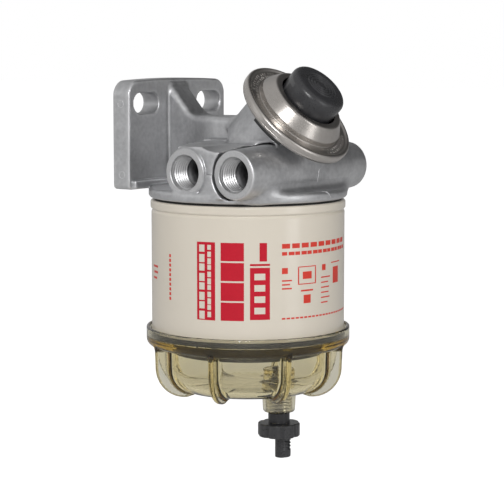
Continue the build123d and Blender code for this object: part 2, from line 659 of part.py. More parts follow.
# Clamping discs above and below the diaphragm
with BuildPart() as upper_disc:
    with BuildSketch(PUMP_PLANE.offset(top)):
        Circle(PLATE_DISC_RADIUS)
        Circle(STEM_RADIUS + SEAM_GAP, mode=Mode.SUBTRACT)
    extrude(amount=PLATE_DISC_SHEET)
    disc_rims = upper_disc.edges().filter_by(GeomType.CIRCLE).sort_by(SortBy.RADIUS)[-2:]
    fillet(disc_rims, PLATE_DISC_SHEET / 3)

with BuildPart() as lower_disc:
    with BuildSketch(PUMP_PLANE.offset(low)):
        Circle(PLATE_DISC_RADIUS)
        Circle(STEM_RADIUS + SEAM_GAP, mode=Mode.SUBTRACT)
    extrude(amount=-PLATE_DISC_SHEET)
    disc_rims = lower_disc.edges().filter_by(GeomType.CIRCLE).sort_by(SortBy.RADIUS)[-2:]
    fillet(disc_rims, PLATE_DISC_SHEET / 3)

# Stem that ties the discs to the button, with a riveted foot
with BuildPart() as plunger_stem:
    with BuildSketch(PUMP_SECTION):
        with BuildLine():
            foot = low - PLATE_DISC_SHEET
            outline(
                [
                    (0, foot - STEM_FOOT),
                    (STEM_RADIUS + STEM_FOOT, foot - STEM_FOOT, STEM_FOOT / 2),
                    (STEM_RADIUS + STEM_FOOT, foot),
                    (STEM_RADIUS, foot),
                    (STEM_RADIUS, BUTTON_SHOULDER),
                    (0, BUTTON_SHOULDER),
                ]
            )
        make_face()
    revolve(axis=PUMP_AXIS)

# Hollow push button, with a hub for the stem and rings cut into its top
with BuildPart() as pump_button:
    with BuildSketch(PUMP_SECTION):
        with BuildLine():
            crown = BUTTON_TOP - BUTTON_DOME
            outline(
                [
                    (0, BUTTON_TOP),
                    (BUTTON_RADIUS, crown, BUTTON_ROUND),
                    (BUTTON_RADIUS, BUTTON_SHOULDER, BUTTON_RADIUS),
                    (BUTTON_FOOT_RADIUS, BUTTON_FOOT, BUTTON_EDGE),
                    (BUTTON_FOOT_RADIUS - BUTTON_WALL, BUTTON_FOOT),
                    (BUTTON_FOOT_RADIUS - BUTTON_WALL, crown - BUTTON_WALL, BUTTON_WALL),
                    (HUB_RADIUS, crown - BUTTON_WALL, BUTTON_WALL / 2),
                    (HUB_RADIUS, top + PLATE_DISC_SHEET),
                    (STEM_RADIUS + SEAM_GAP, top + PLATE_DISC_SHEET),
                    (STEM_RADIUS + SEAM_GAP, BUTTON_SHOULDER + SEAM_GAP),
                    (0, BUTTON_SHOULDER + SEAM_GAP),
                ]
            )
        make_face()
    revolve(axis=PUMP_AXIS)
    with BuildSketch(PUMP_PLANE.offset(BUTTON_TOP)):
        for ring in BUTTON_RINGS:
            Circle(ring)
            Circle(ring - RING_GROOVE, mode=Mode.SUBTRACT)
    extrude(amount=-2 * RING_GROOVE, mode=Mode.SUBTRACT)

# Intake valve in the chamber's floor: perforated seat disc and rubber umbrella
with BuildPart() as intake_valve_seat:
    with BuildSketch(INTAKE_PLANE):
        seat_disc()
    extrude(amount=-VALVE_SEAT_SHEET)

with BuildPart() as intake_valve:
    with BuildSketch(INTAKE_SECTION):
        with BuildLine():
            umbrella_outline()
        make_face()
    revolve(axis=INTAKE_AXIS)

# Outlet valve in the roof of the channel under the flange
with BuildPart() as outlet_valve_seat:
    with BuildSketch(OUTLET_PLANE):
        seat_disc()
    extrude(amount=-VALVE_SEAT_SHEET)

with BuildPart() as outlet_valve:
    with BuildSketch(OUTLET_SECTION):
        with BuildLine():
            umbrella_outline()
        make_face()
    revolve(axis=OUTLET_AXIS)

# Return spring between the chamber's floor and the lower disc
with BuildPart() as pump_spring:
    spring_base = PUMP_PLANE.offset(CHAMBER_S + SPRING_WIRE / 2)
    spring_height = low - PLATE_DISC_SHEET - CHAMBER_S - SPRING_WIRE
    with BuildLine() as coil:
        Helix(
            SPRING_PITCH,
            spring_height,
            SPRING_RADIUS,
            center=spring_base.origin,
            direction=PUMP_NORMAL,
        )
    with BuildSketch(Plane(origin=coil.line @ 0, z_dir=coil.line % 0)):
        Circle(SPRING_WIRE / 2)
    sweep(path=coil.line, is_frenet=True)

# Gasket between the element and the head
with BuildPart() as top_gasket:
    with BuildSketch(level(GROOVE_Z)):
        Circle(GASKET_GROOVE_RADIUS - SEAL_GAP)
        Circle(GASKET_GROOVE_RADIUS - GASKET_WIDTH, mode=Mode.SUBTRACT)
    extrude(amount=GASKET_HEIGHT)

# Steel can of the element: rolled bead, necked groove and plain wall
with BuildPart() as can_shell:
    with BuildSketch(CAN_SECTION):
        with BuildLine():
            bead_z = CAN_TOP_Z - BEAD_HEIGHT
            neck_z = bead_z - NECK_HEIGHT
            bead_in = GASKET_GROOVE_RADIUS
            outline(
                [
                    (bead_in, CAN_TOP_Z),
                    (BEAD_RADIUS, CAN_TOP_Z, BEAD_ROUND),
                    (BEAD_RADIUS, bead_z, BEAD_ROUND),
                    (NECK_RADIUS, bead_z - NECK_HEIGHT / 2, NECK_HEIGHT / 4),
                    (CAN_RADIUS, neck_z - NECK_HEIGHT / 2, NECK_HEIGHT / 4),
                    (CAN_RADIUS, CAN_BOTTOM_Z),
                    (CAN_RADIUS - CAN_SHEET, CAN_BOTTOM_Z),
                    (CAN_RADIUS - CAN_SHEET, neck_z - NECK_HEIGHT / 2),
                    (bead_in, bead_z - NECK_HEIGHT / 2),
                ]
            )
        make_face()
    revolve(axis=CAN_AXIS)

# Tapped plate that closes the can's top, with the gasket groove and the inlet holes
with BuildPart() as top_plate:
    with BuildSketch(CAN_SECTION):
        with BuildLine():
            tap = NIPPLE_RADIUS + THREAD_GAP
            groove_in = GASKET_GROOVE_RADIUS - GASKET_WIDTH - SEAL_GAP
            outline(
                [
                    (tap, GROOVE_Z),
                    (groove_in - CAN_SHEET, GROOVE_Z),
                    (groove_in - CAN_SHEET, CAN_TOP_Z - CAN_SHEET, CAN_SHEET / 4),
                    (groove_in, CAN_TOP_Z - CAN_SHEET, CAN_SHEET / 4),
                    (groove_in, GROOVE_Z),
                    (bead_in - SEAM_GAP, GROOVE_Z),
                    (bead_in - SEAM_GAP, TOP_PLATE_Z),
                    (tap + TAP_WALL, TOP_PLATE_Z),
                    (tap + TAP_WALL, TAP_END_Z),
                    (tap, TAP_END_Z),
                ]
            )
        make_face()
    revolve(axis=CAN_AXIS)
    with BuildSketch(level(GROOVE_Z)):
        with PolarLocations(INLET_CIRCLE, INLET_COUNT):
            Circle(INLET_HOLE_RADIUS)
    extrude(amount=-PLATE_SHEET, mode=Mode.SUBTRACT)

# Pleated paper media
with BuildPart() as filter_media:
    with BuildSketch(level(MEDIA_BOTTOM_Z)):
        with BuildLine():
            Polyline(*pleat_points(MEDIA_OUTER, MEDIA_INNER + PLEAT_BAND), close=True)
        make_face()
        with BuildLine():
            Polyline(*pleat_points(MEDIA_OUTER - PLEAT_BAND, MEDIA_INNER), close=True)
        make_face(mode=Mode.SUBTRACT)
    extrude(amount=MEDIA_TOP_Z - MEDIA_BOTTOM_Z)

# End caps of the media
with BuildPart() as upper_end_cap:
    with BuildSketch(CAN_SECTION):
        with BuildLine():
            outline(
                [
                    (GROMMET_OUTER, TAP_END_Z),
                    (CAP_RADIUS, TAP_END_Z),
                    (CAP_RADIUS, MEDIA_TOP_Z - CAP_HEM),
                    (CAP_RADIUS - CAP_SHEET, MEDIA_TOP_Z - CAP_HEM),
                    (CAP_RADIUS - CAP_SHEET, MEDIA_TOP_Z),
                    (GROMMET_OUTER + CAP_SHEET, MEDIA_TOP_Z),
                    (GROMMET_OUTER + CAP_SHEET, TAP_END_Z - GROMMET_HEIGHT),
                    (GROMMET_OUTER, TAP_END_Z - GROMMET_HEIGHT),
                ]
            )
        make_face()
    revolve(axis=CAN_AXIS)

with BuildPart() as lower_end_cap:
    with BuildSketch(level(RING_TOP_Z)):
        with PolarLocations(CAP_RADIUS, FOOT_COUNT):
            Rectangle(2 * FOOT_REACH, FOOT_WIDTH)
    extrude(amount=FOOT_HEIGHT + CAP_SHEET)
    with BuildSketch(level(FOOT_TOP_Z)):
        Circle(CAP_RADIUS)
    extrude(amount=CAP_SHEET)
    with BuildSketch(level(MEDIA_BOTTOM_Z)):
        Circle(CAP_RADIUS)
        Circle(CAP_RADIUS - CAP_SHEET, mode=Mode.SUBTRACT)
    extrude(amount=CAP_HEM)

# Perforated tube inside the media
with BuildPart() as centre_tube:
    tube_height = MEDIA_TOP_Z - MEDIA_BOTTOM_Z
    with BuildSketch(level(MEDIA_BOTTOM_Z)):
        Circle(TUBE_RADIUS)
        Circle(TUBE_RADIUS - TUBE_SHEET, mode=Mode.SUBTRACT)
    extrude(amount=tube_height)
    for row in range(TUBE_HOLE_ROWS):
        row_z = MEDIA_BOTTOM_Z + tube_height * (row + 0.5) / TUBE_HOLE_ROWS
        for hole_index in range(TUBE_HOLE_COUNT // 2):
            azimuth = 360 * (hole_index + row / 2) / TUBE_HOLE_COUNT
            with BuildSketch(across(azimuth, row_z)):
                Circle(TUBE_HOLE_RADIUS)
            extrude(amount=CAN_RADIUS, both=True, mode=Mode.SUBTRACT)

# Rubber ring that seals the media's clean side to the nipple
with BuildPart() as nipple_seal:
    with BuildSketch(level(TAP_END_Z - GROMMET_HEIGHT)):
        Circle(GROMMET_OUTER - SEAM_GAP)
        Circle(NIPPLE_RADIUS + THREAD_GAP, mode=Mode.SUBTRACT)
    extrude(amount=GROMMET_HEIGHT)

# Tapped ring in the can's lower end, which the bowl screws into
with BuildPart() as bottom_ring:
    with BuildSketch(level(CAN_BOTTOM_Z)):
        Circle(CAN_RADIUS - CAN_SHEET - SEAM_GAP)
        Circle(RING_THREAD_RADIUS, mode=Mode.SUBTRACT)
    extrude(amount=RING_HEIGHT)
    chamfer(bottom_ring.edges().group_by(Axis.Z)[0].sort_by(SortBy.RADIUS)[0], THREAD_CHAMFER)

# Gasket between element and bowl, held in the bowl's lip
with BuildPart() as bowl_gasket:
    with BuildSketch(level(FLOOR_Z)):
        Circle(LIP_RADIUS - LIP_WALL - SEAL_GAP)
        Circle(LIP_RADIUS - LIP_WALL - BOWL_GASKET_WIDTH, mode=Mode.SUBTRACT)
    extrude(amount=BOWL_GASKET_HEIGHT)

# Clear bowl, moulded in one piece and drawn as its rim, cup, drain boss and fins.
# The rim is the lip, the grip ring and the threaded collar.
with BuildPart() as bowl_rim:
    with BuildSketch(CAN_SECTION):
        with BuildLine():
            lip_in = LIP_RADIUS - LIP_WALL
            collar_out = RING_THREAD_RADIUS - THREAD_GAP
            collar_in = collar_out - COLLAR_WALL
            cup_in = BOWL_RADIUS - BOWL_WALL
            outline(
                [
                    (collar_in, FLOOR_Z + COLLAR_RISE),
                    (collar_out, FLOOR_Z + COLLAR_RISE, THREAD_CHAMFER / 2),
                    (collar_out, FLOOR_Z),
                    (lip_in, FLOOR_Z),
                    (lip_in, FLOOR_Z + LIP_RISE, LIP_WALL / 4),
                    (LIP_RADIUS, FLOOR_Z + LIP_RISE, LIP_WALL / 4),
                    (LIP_RADIUS, GRIP_BOTTOM_Z + RING_BEVEL, LIP_WALL / 2),
                    (LIP_RADIUS - RING_BEVEL, GRIP_BOTTOM_Z, LIP_WALL / 2),
                    (cup_in, GRIP_BOTTOM_Z),
                    (collar_in, FLOOR_Z - RING_DEPTH / 2, COLLAR_WALL / 2),
                ]
            )
        make_face()
    revolve(axis=CAN_AXIS)

with BuildPart() as bowl_boss:
    with BuildSketch(DRAIN_SECTION):
        with BuildLine():
            outline(
                [
                    (LAND_RADIUS, BOSS_TOP_Z),
                    (BOSS_END_RADIUS, BOSS_TOP_Z, THREAD_CHAMFER / 2),
                    (BOSS_END_RADIUS, BASE_Z + BOWL_WALL / 2),
                    (BOSS_RADIUS, BASE_Z + BOWL_WALL / 2),
                    (BOSS_END_RADIUS, BOSS_END_Z, BOSS_EDGE),
                    (SCREW_RADIUS + THREAD_GAP, BOSS_END_Z),
                    (SCREW_RADIUS + THREAD_GAP, LAND_Z),
                    (LAND_RADIUS, LAND_Z),
                ]
            )
        make_face()
    revolve(axis=DRAIN_AXIS)

with BuildPart() as bowl:
    with BuildSketch(CAN_SECTION):
        with BuildLine():
            outline(
                [
                    (cup_in, GRIP_BOTTOM_Z),
                    (BOWL_RADIUS, GRIP_BOTTOM_Z),
                    (BOWL_RADIUS - BOWL_TAPER, BASE_Z, BOWL_CORNER),
                    (0, BASE_Z),
                    (0, BASE_Z + BOWL_WALL),
                    (cup_in - BOWL_TAPER, BASE_Z + BOWL_WALL, BOWL_CORNER - BOWL_WALL),
                ]
            )
        make_face()
    revolve(axis=CAN_AXIS)
    with BuildSketch(drain_level(BASE_Z)):
        Circle(BOSS_END_RADIUS)
    extrude(amount=BOWL_WALL, mode=Mode.SUBTRACT)
    add(bowl_boss.part, mode=Mode.SUBTRACT)

with BuildPart() as bowl_fins:
    for fin in range(FIN_COUNT):
        with BuildSketch(radial(FIN_AZIMUTH + 360 * fin / FIN_COUNT)):
            with BuildLine():
                outline(
                    [
                        (FIN_FADE, BASE_Z + BOWL_WALL / 2),
                        (FIN_FADE, BASE_Z),
                        (FIN_FOOT, BASE_Z - FIN_DROP),
                        (FIN_RADIUS - FIN_TAPER, BASE_Z - FIN_DROP, FIN_CORNER),
                        (FIN_RADIUS, GRIP_BOTTOM_Z + FIN_THICKNESS / 2),
                        (BOWL_RADIUS - BOWL_WALL / 2, GRIP_BOTTOM_Z + FIN_THICKNESS / 2),
                        (
                            BOWL_RADIUS - BOWL_TAPER - BOWL_WALL / 2,
                            BASE_Z + BOWL_WALL / 2,
                            BOWL_CORNER - BOWL_WALL / 2,
                        ),
                    ]
                )
            make_face()
        extrude(amount=FIN_THICKNESS / 2, both=True)
    for moulded in (bowl, bowl_rim, bowl_boss):
        add(moulded.part, mode=Mode.SUBTRACT)

# O-ring on the drain valve's nose
with BuildPart() as drain_o_ring:
    with BuildSketch(DRAIN_SECTION):
        with Locations((LAND_RADIUS - SEAM_GAP - O_RING_SECTION, O_RING_Z)):
            Circle(O_RING_SECTION)
    revolve(axis=DRAIN_AXIS)

# Drain valve: nose, screw, lobed knob and hose barb, with the drain way through them
with BuildPart() as drain_valve:
    with BuildSketch(drain_level(KNOB_END_Z)):
        Circle(KNOB_RADIUS)
        with PolarLocations(KNOB_RADIUS + FLUTE_RADIUS - FLUTE_INSET, KNOB_FLUTES):
            Circle(FLUTE_RADIUS, mode=Mode.SUBTRACT)
    extrude(amount=KNOB_HEIGHT)
    chamfer(drain_valve.faces().filter_by(Axis.Z).edges(), KNOB_EDGE)
    knob_middle = KNOB_END_Z + KNOB_HEIGHT / 2
    with BuildSketch(DRAIN_SECTION):
        with BuildLine():
            nose = LAND_RADIUS - NOSE_GAP
            nose_top = BOSS_TOP_Z + NOSE_PROUD
            groove = LAND_RADIUS - 2 * (SEAM_GAP + O_RING_SECTION)
            groove_half = O_RING_SECTION + SEAM_GAP
            outline(
                [
                    (0, knob_middle),
                    (SCREW_RADIUS, knob_middle),
                    (SCREW_RADIUS, SHOULDER_Z, NOSE_GAP),
                    (nose, SHOULDER_Z),
                    (nose, O_RING_Z - groove_half),
                    (groove, O_RING_Z - groove_half),
                    (groove, O_RING_Z + groove_half),
                    (nose, O_RING_Z + groove_half),
                    (nose, nose_top, NOSE_PROUD),
                    (0, nose_top),
                ]
            )
        make_face()
    revolve(axis=DRAIN_AXIS)
    with BuildSketch(barb_level(KNOB_END_Z)):
        Circle(BARB_RADIUS)
    with BuildSketch(barb_level(BARB_END_Z)):
        Circle(BARB_END_RADIUS)
    loft()
    for tooth in range(1, BARB_TEETH + 1):
        tooth_z = BARB_END_Z + tooth * BARB_TOOTH_PITCH + BARB_TIP
        with BuildSketch(barb_level(tooth_z)):
            half_ring(BARB_RADIUS + BARB_TOOTH)
        with BuildSketch(barb_level(tooth_z - BARB_TOOTH_HEIGHT)):
            half_ring(BARB_END_RADIUS)
        loft()
    with BuildSketch(barb_level(BARB_END_Z)):
        Circle(DRAIN_BORE)
    extrude(amount=knob_middle - BARB_END_Z, mode=Mode.SUBTRACT)
    cross_z = SHOULDER_Z + NOSE_ROOT / 2
    with BuildSketch(drain_level(knob_middle - DRAIN_BORE)):
        Circle(DRAIN_BORE)
    extrude(amount=cross_z + CROSS_HOLE_RADIUS - knob_middle + DRAIN_BORE, mode=Mode.SUBTRACT)
    with BuildSketch(DRAIN_SECTION):
        with Locations((0, cross_z)):
            Circle(CROSS_HOLE_RADIUS)
    extrude(amount=LAND_RADIUS, both=True, mode=Mode.SUBTRACT)

pieces = {
    "head_casting": head_casting,
    "element_nipple": element_nipple,
    "port_plugs": port_plugs,
    "pump_cover": pump_cover,
    "pump_diaphragm": pump_diaphragm,
    "pump_spring": pump_spring,
    "intake_valve_seat": intake_valve_seat,
    "intake_valve": intake_valve,
    "outlet_valve_seat": outlet_valve_seat,
    "outlet_valve": outlet_valve,
    "upper_disc": upper_disc,
    "lower_disc": lower_disc,
    "plunger_stem": plunger_stem,
    "pump_button": pump_button,
    "top_gasket": top_gasket,
    "can_shell": can_shell,
    "top_plate": top_plate,
    "filter_media": filter_media,
    "upper_end_cap": upper_end_cap,
    "lower_end_cap": lower_end_cap,
    "centre_tube": centre_tube,
    "nipple_seal": nipple_seal,
    "bottom_ring": bottom_ring,
    "bowl_gasket": bowl_gasket,
    "bowl_rim": bowl_rim,
    "bowl": bowl,
    "bowl_boss": bowl_boss,
    "bowl_fins": bowl_fins,
    "drain_o_ring": drain_o_ring,
    "drain_valve": drain_valve,
}

os.makedirs("parts", exist_ok=True)
for label, piece in pieces.items():
    piece.part.label = label
    export_step(piece.part, f"parts/{label}.step")
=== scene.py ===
"""Fuel water separator with primer pump: its looks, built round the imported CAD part."""

import json
from functools import reduce
from math import cos, pi, radians, sin, sqrt

import bpy
import numpy as np
from mathutils import Matrix


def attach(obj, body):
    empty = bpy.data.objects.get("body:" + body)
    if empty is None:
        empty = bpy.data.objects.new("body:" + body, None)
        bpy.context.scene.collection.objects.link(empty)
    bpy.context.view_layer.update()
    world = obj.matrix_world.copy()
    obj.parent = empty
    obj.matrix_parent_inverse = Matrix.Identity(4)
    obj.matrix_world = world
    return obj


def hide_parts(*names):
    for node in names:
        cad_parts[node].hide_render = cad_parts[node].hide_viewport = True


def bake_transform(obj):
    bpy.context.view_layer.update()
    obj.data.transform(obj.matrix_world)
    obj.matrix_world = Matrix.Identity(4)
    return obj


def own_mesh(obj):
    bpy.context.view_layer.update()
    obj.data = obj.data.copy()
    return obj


bl_info = {
    "name": "Fuel water separator",
    "version": (1, 0, 0),
    "blender": (4, 5, 0),
    "location": "3D View > Sidebar > Separator",
    "description": "Builds the visible pieces of a fuel water separator round its CAD frame",
    "category": "Object",
}

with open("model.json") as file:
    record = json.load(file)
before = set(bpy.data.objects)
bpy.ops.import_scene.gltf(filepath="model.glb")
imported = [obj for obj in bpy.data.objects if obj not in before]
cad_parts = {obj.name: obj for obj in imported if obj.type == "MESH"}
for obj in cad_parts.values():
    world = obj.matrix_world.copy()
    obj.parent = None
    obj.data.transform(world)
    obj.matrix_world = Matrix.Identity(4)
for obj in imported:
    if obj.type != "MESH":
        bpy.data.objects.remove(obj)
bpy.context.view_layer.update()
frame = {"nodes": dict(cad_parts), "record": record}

# Places and sizes that several pieces share, in millimetres, as in the part's source. The cast bosses of the
# ports end at CAST_FACE, just behind the machined rings at PORT_FACE.
MM = 0.001
SLOPE = sqrt(0.5)
CAN_Y = -62.0
CAN_RADIUS, CAN_TOP, CAN_BOTTOM = 54.0, -53.0, -126.3
SEAT = -51.8
PLATE_SIDE = 43.3
PORT_Z, PORT_FACE, CAST_FACE = -35.6, 54.0, 53.9
REAR_PORT, FRONT_PORT = -60.0, -93.0
HEAD_FLOOR = -49.0
PASSAGE = 5.2
PUMP_Y, PUMP_Z = -97.2, -3.7
CHAMBER_FLOOR = -16.0
STEM_HOLE = 3.05
LIP_RADIUS, BOWL_FLOOR = 57.1, -129.4
GRIP_BOTTOM = -134.8
BASE, BASE_ROUND = -160.3, 13.0
BOSS_END = -174.0
DRAIN_PITCH = 1.75
DRAIN_TURN = radians(-53.1)
DRAIN_X = 17.5 * cos(DRAIN_TURN)
DRAIN_Y = CAN_Y + 17.5 * sin(DRAIN_TURN)


# Distance fields: below zero inside a solid, zero on its skin, in millimetres. The head and the bowl are
# made this way because their fillets and crossing bores are no single surface of two parameters.


def overlap(*solids):
    """What all the solids share, with sharp edges: the largest of the fields."""
    return reduce(np.maximum, solids)


def less(body, *holes):
    """A solid with holes cut out of it, with sharp edges."""
    return overlap(body, *(-hole for hole in holes))


def rounded_union(a, b, r):
    """Two solids joined with a fillet of radius r: outside both by less than r, the distance to a quarter
    circle."""
    return np.maximum(r, np.minimum(a, b)) - np.hypot(np.maximum(r - a, 0), np.maximum(r - b, 0))


def rounded_overlap(a, b, r):
    """What two solids share, with its edge rounded to radius r."""
    return np.minimum(-r, np.maximum(a, b)) + np.hypot(np.maximum(r + a, 0), np.maximum(r + b, 0))


def soft_max(a, b, k):
    """The larger of two fields, with their crossing eased over a band k wide."""
    return np.maximum(a, b) + np.maximum(k - np.abs(a - b), 0) ** 2 / (4 * k)


def eased(amount, t):
    """Amount that comes in smoothly as t goes from 0 to 1."""
    t = np.clip(t, 0, 1)
    return amount * t * t * (3 - 2 * t)


def pump_place(x, y, z):
    """Height along the pump's axis and distance from it; the axis leans 45 degrees forward."""
    forward, up = y - PUMP_Y, z - PUMP_Z
    return (up - forward) * SLOPE, np.hypot(x, (forward + up) * SLOPE)


def less_bores(body, x, y, z):
    """Casting less its port bores, the pump's chamber, the gallery round the nipple, the nipple's socket,
    the riser and the outlet valve's seat."""
    side = np.abs(x)
    s, away = pump_place(x, y, z)
    round_can = np.hypot(x, y - CAN_Y)
    bore_end, open_bore, plugged_bore = 38.5, 9.9, 8.9
    for row in (REAR_PORT, FRONT_PORT):
        bore = np.hypot(y - row, z - PORT_Z)
        mouth = overlap(bore - np.where(x < 0, open_bore, plugged_bore), bore_end - side)
        body = less(body, bore - PASSAGE, mouth)
    chamber = overlap(away - 22.0, CHAMBER_FLOOR - s)
    gallery = overlap(np.abs(round_can - 28.75) - 11.25, z + 48.8)
    socket = overlap(round_can - 12.65, z + 42.8)
    riser = overlap(round_can - PASSAGE, z - PORT_Z)
    valve_seat = overlap(np.hypot(x - 12.0, y + 82.0) - 5.5, z + 46.8)
    return less(body, chamber, gallery, socket, riser, valve_seat)


def front_boss(x, y, z, inset=0.0):
    """Boss of the front ports: distance from its axis along X less a radius that grows inwards from the
    mouth as a parabola."""
    side = np.abs(x)
    radius = 15.3 - inset - 2.2 * (side / CAST_FACE) ** 2
    return rounded_overlap(np.hypot(y - FRONT_PORT, z - PORT_Z) - radius, side - CAST_FACE + inset, 0.9)


def front_boss_field(x, y, z):
    """Boss of the front ports with its bores. It has a skin of its own, so that the slot behind it stays
    sharp."""
    return less_bores(front_boss(x, y, z), x, y, z)


def plate_field(x, y, z):
    """Bracket plate with a crowned top, a ledge along its foot and two slots."""
    side, half_thick = np.abs(x), 6.0
    slot_at, slot_reach, slot_radius = 28.0, 5.05, 5.8
    crown = 12.2 + 1.4 * (1 - (x / PLATE_SIDE) ** 2)
    face = rounded_overlap(rounded_overlap(side - PLATE_SIDE, z - crown, 8.0), -48.0 - z, 2.5)
    plate = rounded_overlap(face, np.abs(y + half_thick) - half_thick, 1.0)
    ledge = rounded_overlap(side - 41.3, np.abs(z + 45.25) - 2.25, 0.8)
    ledge = rounded_overlap(ledge, np.abs(y + 12.5) - 2.5, 0.8)
    slot = np.hypot(np.maximum(np.abs(side - slot_at) - slot_reach, 0), z) - slot_radius
    return rounded_overlap(rounded_union(plate, ledge, 0.8), -slot, 0.7)


def arm_field(x, y, z):
    """Arm from the plate to the pump's housing: it spreads forwards, and a gusset runs from its top up
    the plate."""
    half_width, spread, top = 8.8, 6.2, -7.1
    flank = np.abs(x) - half_width - eased(spread, (-23.0 - y) / 29.0)
    gusset = -0.7425 * (y + 12.0) + 0.6707 * (z - 10.4)
    arm = rounded_overlap(flank, rounded_union(z - top, gusset, 3.0), 3.4)
    return overlap(arm, -74.0 - y, y + 8.0, np.abs(z + 19.3) - 29.7)


def ports_field(x, y, z):
    """Rear boss, the web between the ports with a step under its face, and the block between ports and
    arm. The web's top falls from a ridge at its back towards the front ports, and dips near the
    mouths."""
    side = np.abs(x)
    rear = rounded_overlap(np.hypot(y - REAR_PORT, z - PORT_Z) - 13.1, side - CAST_FACE, 0.9)
    out = np.clip((side - 22.0) / 26.0, 0, 1.25)
    ridge_top = -19.6 - 1.6 * out**2.2
    front_top = -21.4 + 0.02 * (49.0 - side)
    dip = 2.6 * np.clip((side - 34.0) / 16.0, 0, 1) * np.maximum(1 - ((y + 81.0) / 11.0) ** 2, 0)
    top = ridge_top + eased(front_top - dip - ridge_top, (-58.0 - y) / 9.0)
    web = rounded_overlap((z - top) * 0.95, side - 52.3, 0.8)
    web = overlap(web, np.abs(y + 72.9) - 18.9, HEAD_FLOOR - z)
    step = overlap(side - 52.9, z + 36.1, np.abs(y + 76.5) - 16.5, HEAD_FLOOR - z)
    block = rounded_overlap(rounded_overlap(side - 22.0, z + 19.3, 0.8), np.abs(y + 63.6) - 16.3, 0.8)
    body = np.minimum(rounded_union(rear, web, 1.2), step)
    return rounded_union(body, overlap(block, HEAD_FLOOR - z), 0.6)


def head_field(x, y, z):
    """Die-cast head but for its front boss: ports, arm, pump housing, plate, flange and lip, less its
    bores. The front boss runs into it with a fillet in front, and with a slot behind that widens towards
    the mouth."""
    side = np.abs(x)
    s, away = pump_place(x, y, z)
    body = ports_field(x, y, z)
    for part, fillet in (
        (arm_field(x, y, z), 1.4),
        (rounded_overlap(away - 25.2, np.abs(s + 18.5) - 15.0, 1.0), 2.2),
        (plate_field(x, y, z), 1.9),
        (rounded_overlap(np.hypot(x, y - CAN_Y) - 55.5, np.abs(z - HEAD_FLOOR) - 2.8, 2.2), 1.6),
        (rounded_overlap(away - 33.45, np.abs(s + 3.5) - 0.8, 0.4), 0.8),
    ):
        body = rounded_union(body, part, fillet)
    mouth = np.clip((side - 38.0) / 10.0, 0, 1)
    behind = np.clip(((y - FRONT_PORT) * 0.85 + (z - PORT_Z) * 0.5 * (1 - mouth) - 1.0) / 5.0, 0, 1)
    fillet = 0.05 + 6.0 * (1 - behind) * np.clip((51.0 - side) / 12.0, 0, 1)
    body = rounded_union(body, front_boss(x, y, z, 0.04 + 0.3 * mouth), fillet)
    slot = -0.4 + behind * np.interp(side, [6, 14, 26, 34, 42, 52], [0.4, 0.8, 1.3, 1.9, 2.2, 2.6])
    body = np.where(behind > 0, rounded_overlap(body, slot - front_boss(x, y, z), 0.9), body)
    return less_bores(body, x, y, z)


def fins_field(x, y, z):
    """Eight fins round the bowl: one fin, with the angle round the can folded into an eighth of a turn."""
    eighth, first_fin, fin_radius, below_base = pi / 4, radians(15.6), 56.0, 2.4
    away = np.hypot(x, y - CAN_Y)
    turn = np.arctan2(y - CAN_Y, x) - first_fin
    turn = turn - np.round(turn / eighth) * eighth
    out, aside = away * np.cos(turn), away * np.sin(turn)
    foot = np.maximum(BASE - below_base - z, BASE - z - below_base * (out - 27.0) / 10.0)
    fin = rounded_overlap(out - fin_radius + 1.2 * np.clip((-133.3 - z) / 29.4, 0, 1), foot, 17.0)
    fin = rounded_overlap(fin, np.abs(aside) - 1.5, 0.9)
    return overlap(fin, 24.0 - out, z + 133.0)


def bowl_field(x, y, z):
    """Clear bowl: lip and grip ring, wall, collar, fins and drain boss, less the gasket's groove, the
    water space and the drain's bores."""
    away = np.hypot(x, y - CAN_Y)
    beside = np.hypot(x - DRAIN_X, y - DRAIN_Y)
    drop = np.clip((GRIP_BOTTOM - z) / 25.5, 0, 1)
    lip = rounded_overlap(rounded_overlap(away - LIP_RADIUS, z + 124.0, 0.6), GRIP_BOTTOM - z, 0.8)
    lip = soft_max(lip, (away - LIP_RADIUS - 132.4 - z) * SLOPE, 1.2)
    wall = overlap(rounded_overlap(away - 47.6 + 0.9 * drop, BASE - z, BASE_ROUND), z - BOWL_FLOOR)
    collar = overlap(rounded_overlap(away - 45.9, z + 115.4, 0.6), -135.0 - z)
    body = rounded_union(np.minimum(lip, collar), wall, 1.2)
    body = rounded_union(body, fins_field(x, y, z), 1.6)
    boss = rounded_overlap(beside - 9.0 - 0.9 * (z - BOSS_END) / 15.3, BOSS_END - z, 1.5)
    body = rounded_union(body, overlap(boss, z + 158.0), 1.5)
    neck, neck_end = 42.5, -132.1
    inner = np.where(z > neck_end, neck, 44.4 - 0.9 * drop)
    inner = neck + eased(inner - neck, (neck_end - z) / 2.7)
    water = rounded_overlap(away - inner, -157.1 - z, 9.8)
    groove = overlap(np.abs(away - 50.5) - 4.6, BOWL_FLOOR - z)
    inner_boss = overlap(rounded_overlap(beside - 9.0, z + 149.0, 0.6), -160.0 - z)
    body = rounded_union(less(body, water, groove), inner_boss, 1.2)
    seal_bore, thread_bore = overlap(beside - 6.25, z + 152.2), overlap(beside - 7.6, z + 156.0)
    return less(body, seal_bore, thread_bore, beside - 4.0)


def field_slope(field, points, reach):
    """Slope of a field at each point, from its values a little ahead and behind along each axis."""
    slope = np.empty_like(points)
    for axis in range(3):
        shift = np.zeros(3)
        shift[axis] = reach
        slope[:, axis] = (field(*(points + shift).T) - field(*(points - shift).T)) / (2 * reach)
    return slope


